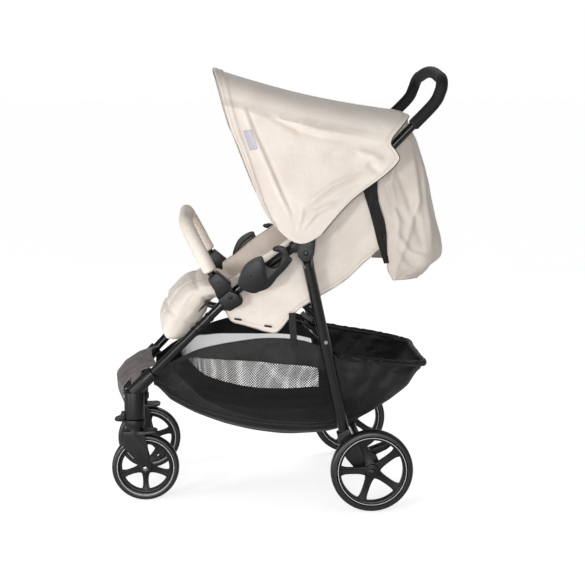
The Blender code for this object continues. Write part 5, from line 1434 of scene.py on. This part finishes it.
class PUSHCHAIR_OT_seat(bpy.types.Operator):
    """Padded seat, backrest and calf rest with their side panels"""
    bl_idname = "pushchair.seat"
    bl_label = "Seat"

    def execute(self, context):
        seat = [(p.x, p.z) for p in spline(in_side_view(SEAT_LINE), 6)]
        back = [(p.x, p.z) for p in (BACK_ENDS[0].lerp(BACK_ENDS[1], i / 26) for i in range(27))]
        for name, on, path, half, depth, seams, nodes in (
                ("seat_and_calf_pad", SEAT_BLEND, seat, (0.142, 0.16), (0.084, 0.03), (0.06, 0.135, 0.205),
                 ("seat_cushion", "calf_cushion")),
                ("backrest_pad", "backrest", back, (0.159, 0.159), (0.032, 0.032), (0.1, 0.205),
                 ("backrest_cushion",))):
            pad = smooth_pad(name, path, half, depth)
            swell(pad)
            sewn(pad, path, seams, (-half[0] * 0.62, half[0] * 0.62))
            soften(modified(pad, "SUBSURF", levels=1, render_levels=1), 80.0)
            finished(pad, "padding", on, nodes)

        starts = evenly(SIDE_PANEL[0][0], SIDE_PANEL[-1][0], 70)
        for side, sign in SIDES:
            rows = panel_rows(sign, starts)
            cloth = sheet_mesh(f"side_panel_{side}_cloth", rows, PANEL_CLOTH)
            finished(cloth, "canvas", "chassis", (f"side_panel_{side}",))
            hem = made(f"side_panel_{side}_piping", [
                sweep([row[0] for row in rows], 0.002, 10), sweep([row[-1] for row in rows], 0.0018, 10)],
                       "thread", "chassis")
            lines = [[row[0] for row in panel_rows(sign, starts, 0.0022, v, 1.0, 2)] for v in (0.055, 0.93)]
            stitches = stitched(f"side_panel_{side}_stitches", lines, "chassis")
        return {"FINISHED"}


class PUSHCHAIR_OT_bumper(bpy.types.Operator):
    """Padded sleeve of the bumper bar, puckered along its seam"""
    bl_idname = "pushchair.bumper"
    bl_label = "Bumper sleeve"

    def execute(self, context):
        steps, sides = 480, 36
        # The first two points at each end lie inside the socket
        covered = bumper_route()[2:-2]
        length = length_of(covered)
        fine = resample(covered, steps)

        def radius(share):
            slack = 0.0005 * noise.noise(Vector((share * 30, 0.0, 7.0)))
            rounding = end_rounding(share, length, 0.006)
            return BUMPER_CORE + BUMPER_PADDING * rounding + slack * rounding

        sleeve = build("bumper_sleeve_cover", [sweep(fine, radius, sides)])
        heart = sum(fine, Vector()) / len(fine)
        for vertex in sleeve.data.vertices:
            ring = vertex.index // sides
            out = vertex.co - fine[ring]
            edge = min(ring / steps, 1 - ring / steps) * length
            inner = max(0.0, out.normalized().dot((heart - fine[ring]).normalized()))
            bend = math.exp(-((edge - 0.115) / 0.075) ** 2)
            fold = math.sin(edge * 780.0 + 2.5 * noise.noise(Vector((edge * 30, 0.0, 5.0))))
            vertex.co += out.normalized() * (0.0016 * fold * bend * inner ** 0.6)
            vertex.co += Vector((0.0, 0.0, 0.0007 * noise.noise(vertex.co * 45.0)))
        finished(soften(sleeve, 60.0), "padding", "bumper", ("bumper_sleeve",))
        return {"FINISHED"}


# Basket


def basket_point(x, fall, sign, lift=0.0):
    """Point of the basket's wall: fall runs from 0 at the rim to 1 at the floor's edge."""
    width, rim, floor = lerp_table(BASKET_STATIONS, x)
    k = lerp_table(BASKET_WALL, fall)[0]
    z = rim + (floor - rim) * fall
    # The cloth hangs slack between its seams
    slack = 0.005 * math.sin(x * 38.0 + 5.0 * fall) * math.sin(math.pi * min(1.0, fall * 1.1))
    slack += 0.006 * noise.noise(Vector((x * 15 - fall * 3, fall * 5 + 9, sign * 1.7)))
    # Gathers run down and forward from the hoop at the back
    gathers = max(0.0, min(1.0, (x - 0.14) / 0.06))
    slack += 0.0034 * gathers * math.sin(135.0 * (x + 0.55 * fall * (rim - floor))) * (1.0 - 0.6 * fall)
    slack *= min(1.0, (BASKET_REAR - x) / 0.06 + 0.1)
    return Vector((x, sign * (width * k + slack * min(1.0, 5 * fall) + lift), z))


def basket_falls(x):
    """Shares of the wall's height where its grid lines run."""
    top, low = lerp_table(BASKET_WINDOW, x)
    return evenly(0.0, top, WINDOW_TOP)[:-1] + evenly(top, low, WINDOW_LOW - WINDOW_TOP)[:-1] + evenly(low, 1.0, 12)


def net_lines(sign):
    """Crossing threads of one net window, as pairs of points."""
    across, down = 116, 44
    grid = [[basket_point(x, fall, sign) for fall in evenly(*lerp_table(BASKET_WINDOW, x), down)]
            for x in evenly(WINDOW_FRONT, WINDOW_REAR, across)]
    return [[grid[i][j], grid[i + 1][j + step]] for i in range(across) for j in range(down + 1)
            if (i + j) % 2 == 0 for step in (-1, 1) if 0 <= j + step <= down]


def basket_bands(sign, xs):
    """Lines of piping on one side of the basket: round the window, along the rim and along the skirt's seam."""
    stations = evenly(WINDOW_FRONT, WINDOW_REAR, 40)
    upper, lower = ([basket_point(x, lerp_table(BASKET_WINDOW, x)[edge], sign, 0.001) for x in stations]
                    for edge in (0, 1))
    seam = [basket_point(x, SEAM_FALL - 0.1 * math.exp(-((x - BASKET_FRONT) / 0.06) ** 2), sign, 0.0012)
            for x in xs if x < 0.2]
    return [upper + lower[::-1] + upper[:1], [basket_point(x, 0.0, sign) for x in xs], seam]


# How far the sleeve of the basket's tube stands out from the rim
HOOP_OUT = 0.0068
HOOP_HEIGHT = 0.319


def basket_hoop():
    """Centre line of the sleeve that holds the basket's tube, round the back of the rim."""
    hoop = [Vector((x + (HOOP_OUT if x > 0.33 else 0.0), -(width + HOOP_OUT * 0.6), rim - 0.001))
            for x, width, rim, _ in BASKET_STATIONS if x >= 0.14]
    hoop += [Vector((BASKET_REAR + HOOP_OUT, y, HOOP_HEIGHT)) for y in (-0.069, 0.0)]
    return both_halves(spline(hoop, 10))


class PUSHCHAIR_OT_basket(bpy.types.Operator):
    """Cloth basket with net windows, bands and hems"""
    bl_idname = "pushchair.basket"
    bl_label = "Basket"

    def execute(self, context):
        spans = ((BASKET_FRONT, WINDOW_FRONT, 7), (WINDOW_FRONT, WINDOW_REAR, 52), (WINDOW_REAR, BASKET_REAR, 34))
        xs = [a + (b - a) * k / n for a, b, n in spans for k in range(n)] + [BASKET_REAR]
        rows = []
        for x in xs:
            near, far = ([basket_point(x, fall, sign) for fall in basket_falls(x)] for _, sign in SIDES)
            rows.append(near + [near[-1].lerp(far[-1], k / 12) for k in range(1, 12)] + far[::-1])
        # The last row closes the cloth over the hoop
        rows.append([Vector((0.3455, p.y, max(p.z, 0.3185))) for p in rows[-1]])
        count = len(rows[0])

        def open_windows(bm):
            gone = []
            for face in bm.faces:
                column = min(v.index % count for v in face.verts)
                middle = sum(v.co.x for v in face.verts) / len(face.verts)
                if (WINDOW_TOP <= min(column, count - 2 - column) < WINDOW_LOW
                        and WINDOW_FRONT < middle < WINDOW_REAR):
                    gone.append(face)
            bmesh.ops.delete(bm, geom=gone, context="FACES")

        cloth = sheet_mesh("basket_cloth", rows, BASKET_CLOTH, open_windows)
        finished(cloth, "twill", "chassis", ("basket",))
        lines = net_lines(-1.0) + net_lines(1.0)
        radius = context.scene.pushchair_sizes.net / 2
        net = run_nodes(line_object("basket_net", lines), NET, "twill", Radius=radius)
        finished(net, "twill", "chassis")
        bands = basket_bands(-1.0, xs) + basket_bands(1.0, xs) + [rows[0], rows[-1]]
        cord = piping("basket_piping", bands, 0.0019, 8, "webbing", "chassis")

        def gathered(share):
            return 0.0072 + 0.0006 * math.sin(share * 150.0 + 6.0 * noise.noise(Vector((share * 25, 0.0, 3.0))))

        sleeve = made("basket_tube_sleeve", [sweep(resample(basket_hoop(), 260), gathered, 16)], "twill",
                      "chassis", angle=60.0)
        return {"FINISHED"}


# Trim


def strap_shell(path, width_direction, width, thickness):
    """A flat strap along a path."""
    pts = [Vector(p) for p in path]
    w, h = width / 2, thickness / 2
    section = ((-w, -h * 0.4), (-w * 0.94, -h), (w * 0.94, -h), (w, -h * 0.4), (w, h * 0.4), (w * 0.94, h),
               (-w * 0.94, h), (-w, h * 0.4))
    rings = []
    for i, p in enumerate(pts):
        ahead = (pts[min(i + 1, len(pts) - 1)] - pts[max(i - 1, 0)]).normalized()
        across = Vector(width_direction)
        across = (across - ahead * across.dot(ahead)).normalized()
        out = ahead.cross(across).normalized()
        rings.append([p + across * u + out * v for u, v in section])
    return loft(rings)


# Front and rear edges of the gusset between seat and drape, and straps, in the side view or with their y
GUSSET_FRONT = ((0.178, 0.782), (0.19, 0.736), (0.21, 0.67), (0.225, 0.612), (0.2395, 0.566))
GUSSET_REAR = ((0.236, 0.806), (0.236, 0.755), (0.244, 0.7), (0.255, 0.64), (0.256, 0.566))
LINK_STRAP = ((0.03, 0.2055, 0.452), (0.031, 0.206, 0.424), (0.033, 0.2062, 0.4), (0.034, 0.205, 0.376),
              (0.036, 0.201, 0.366))
BRACKET_STRAP = ((0.052, 0.2, 0.452), (0.064, 0.201, 0.441), (0.078, 0.2, 0.434))
GUSSET_RING = (0.2345, 0.219, 0.628)
BUTTONHOLES = ((-0.094, 0.185, 0.4345), (-0.025, 0.1955, 0.4195))
# Screws and bolts: name, finish, body, places on one side, radius and height
FASTENERS = (
    ("frame_screws", "pin", "chassis", ((-0.0672, 0.264, 0.5461), (-0.0595, 0.264, 0.5188),
                                        (-0.1398, 0.229, 0.5259), (0.0343, 0.2072, 0.3884)), 0.003, 0.0016),
    ("leg_screws", "pin", "rear_legs", ((0.1406, 0.2508, 0.2022), (0.143, 0.2502, 0.1833)), 0.0032, 0.003),
    ("leg_bolts", "steel", "rear_legs", ((0.1039, 0.257, 0.3912),), 0.0042, 0.003))


def on_side(sign, points):
    """Points of the right-hand side on the side of this sign."""
    return [Vector((x, sign * y, z)) for x, y, z in points]


def gusset_rows(sign):
    """Rows of points over the gusset on one side, from its front edge to its rear edge."""
    rows = []
    for a, b in zip(*(spline(in_side_view(line), 8) for line in (GUSSET_FRONT, GUSSET_REAR))):
        row = []
        for k in range(9):
            s, p = k / 8, a.lerp(b, k / 8)
            y = 0.22 - 0.0088 * s + 0.0006 * math.sin(26.0 * (s - a.z * 9))
            row.append(Vector((p.x, sign * y, p.z)))
        rows.append(row)
    return rows


class PUSHCHAIR_OT_trim(bpy.types.Operator):
    """Webbing, seat brackets, slots, screws and rivets"""
    bl_idname = "pushchair.trim"
    bl_label = "Small trim"

    def execute(self, context):
        for side, sign in SIDES:
            finished(sheet_mesh(f"seat_gusset_{side}", gusset_rows(sign), 0.0012), "twill", "chassis")
            straps = [strap_shell(on_side(sign, LINK_STRAP), (1.0, 0.0, 0.0), 0.016, 0.0018)]
            for x, y, z in BUTTONHOLES:
                slot = on_side(sign, ((x - 0.0085, y, z + 0.0015), (x + 0.0085, y, z - 0.0015)))
                straps.append(strap_shell(slot, (0.0, 0.0, 1.0), 0.0045, 0.0012))
            made(f"seat_webbing_{side}", straps, "webbing", "chassis", angle=30.0)
            bracket = strap_shell(on_side(sign, BRACKET_STRAP), (0.3, 0.0, 1.0), 0.01, 0.003)
            ring = ring_points((GUSSET_RING[0], sign * GUSSET_RING[1], GUSSET_RING[2]), 0.006, 24)
            made(f"seat_bracket_{side}", [bracket, sweep(ring, 0.0011, 8, True)], "grey", "chassis", angle=30.0)
            for name, finish, body, places, radius, height in FASTENERS:
                heads = run_nodes(points_object(f"{name}_{side}", on_side(sign, places)), HEADS, finish,
                                  Radius=radius, Height=height)
                finished(soften(heads, 30.0), finish, body)
        return {"FINISHED"}


class PUSHCHAIR_PT_panel(bpy.types.Panel):
    """Buttons for the parts of the pushchair"""
    bl_label = "Pushchair"
    bl_idname = "PUSHCHAIR_PT_panel"
    bl_space_type = "VIEW_3D"
    bl_region_type = "UI"
    bl_category = "Pushchair"

    def draw(self, context):
        for step in STEPS:
            self.layout.operator(step.bl_idname, text=step.bl_label)
        for group in (context.scene.pushchair_sizes, context.scene.pushchair_colours):
            for key in group.__annotations__:
                self.layout.prop(group, key)


STEPS = (PUSHCHAIR_OT_stage, PUSHCHAIR_OT_tubes, PUSHCHAIR_OT_grip, PUSHCHAIR_OT_wheels, PUSHCHAIR_OT_mouldings,
         PUSHCHAIR_OT_canopy, PUSHCHAIR_OT_drape, PUSHCHAIR_OT_seat, PUSHCHAIR_OT_bumper, PUSHCHAIR_OT_basket,
         PUSHCHAIR_OT_trim)
CLASSES = (PushchairColours, PushchairSizes) + STEPS + (PUSHCHAIR_PT_panel,)


def register():
    for item in CLASSES:
        bpy.utils.register_class(item)
    bpy.types.Scene.pushchair_colours = bpy.props.PointerProperty(type=PushchairColours)
    bpy.types.Scene.pushchair_sizes = bpy.props.PointerProperty(type=PushchairSizes)


def unregister():
    del bpy.types.Scene.pushchair_sizes
    del bpy.types.Scene.pushchair_colours
    for item in reversed(CLASSES):
        bpy.utils.unregister_class(item)


def main():
    """Build every part in order."""
    register()
    for step in STEPS:
        getattr(bpy.ops.pushchair, step.bl_idname.split(".")[1])()


if __name__ == "__main__":
    main()
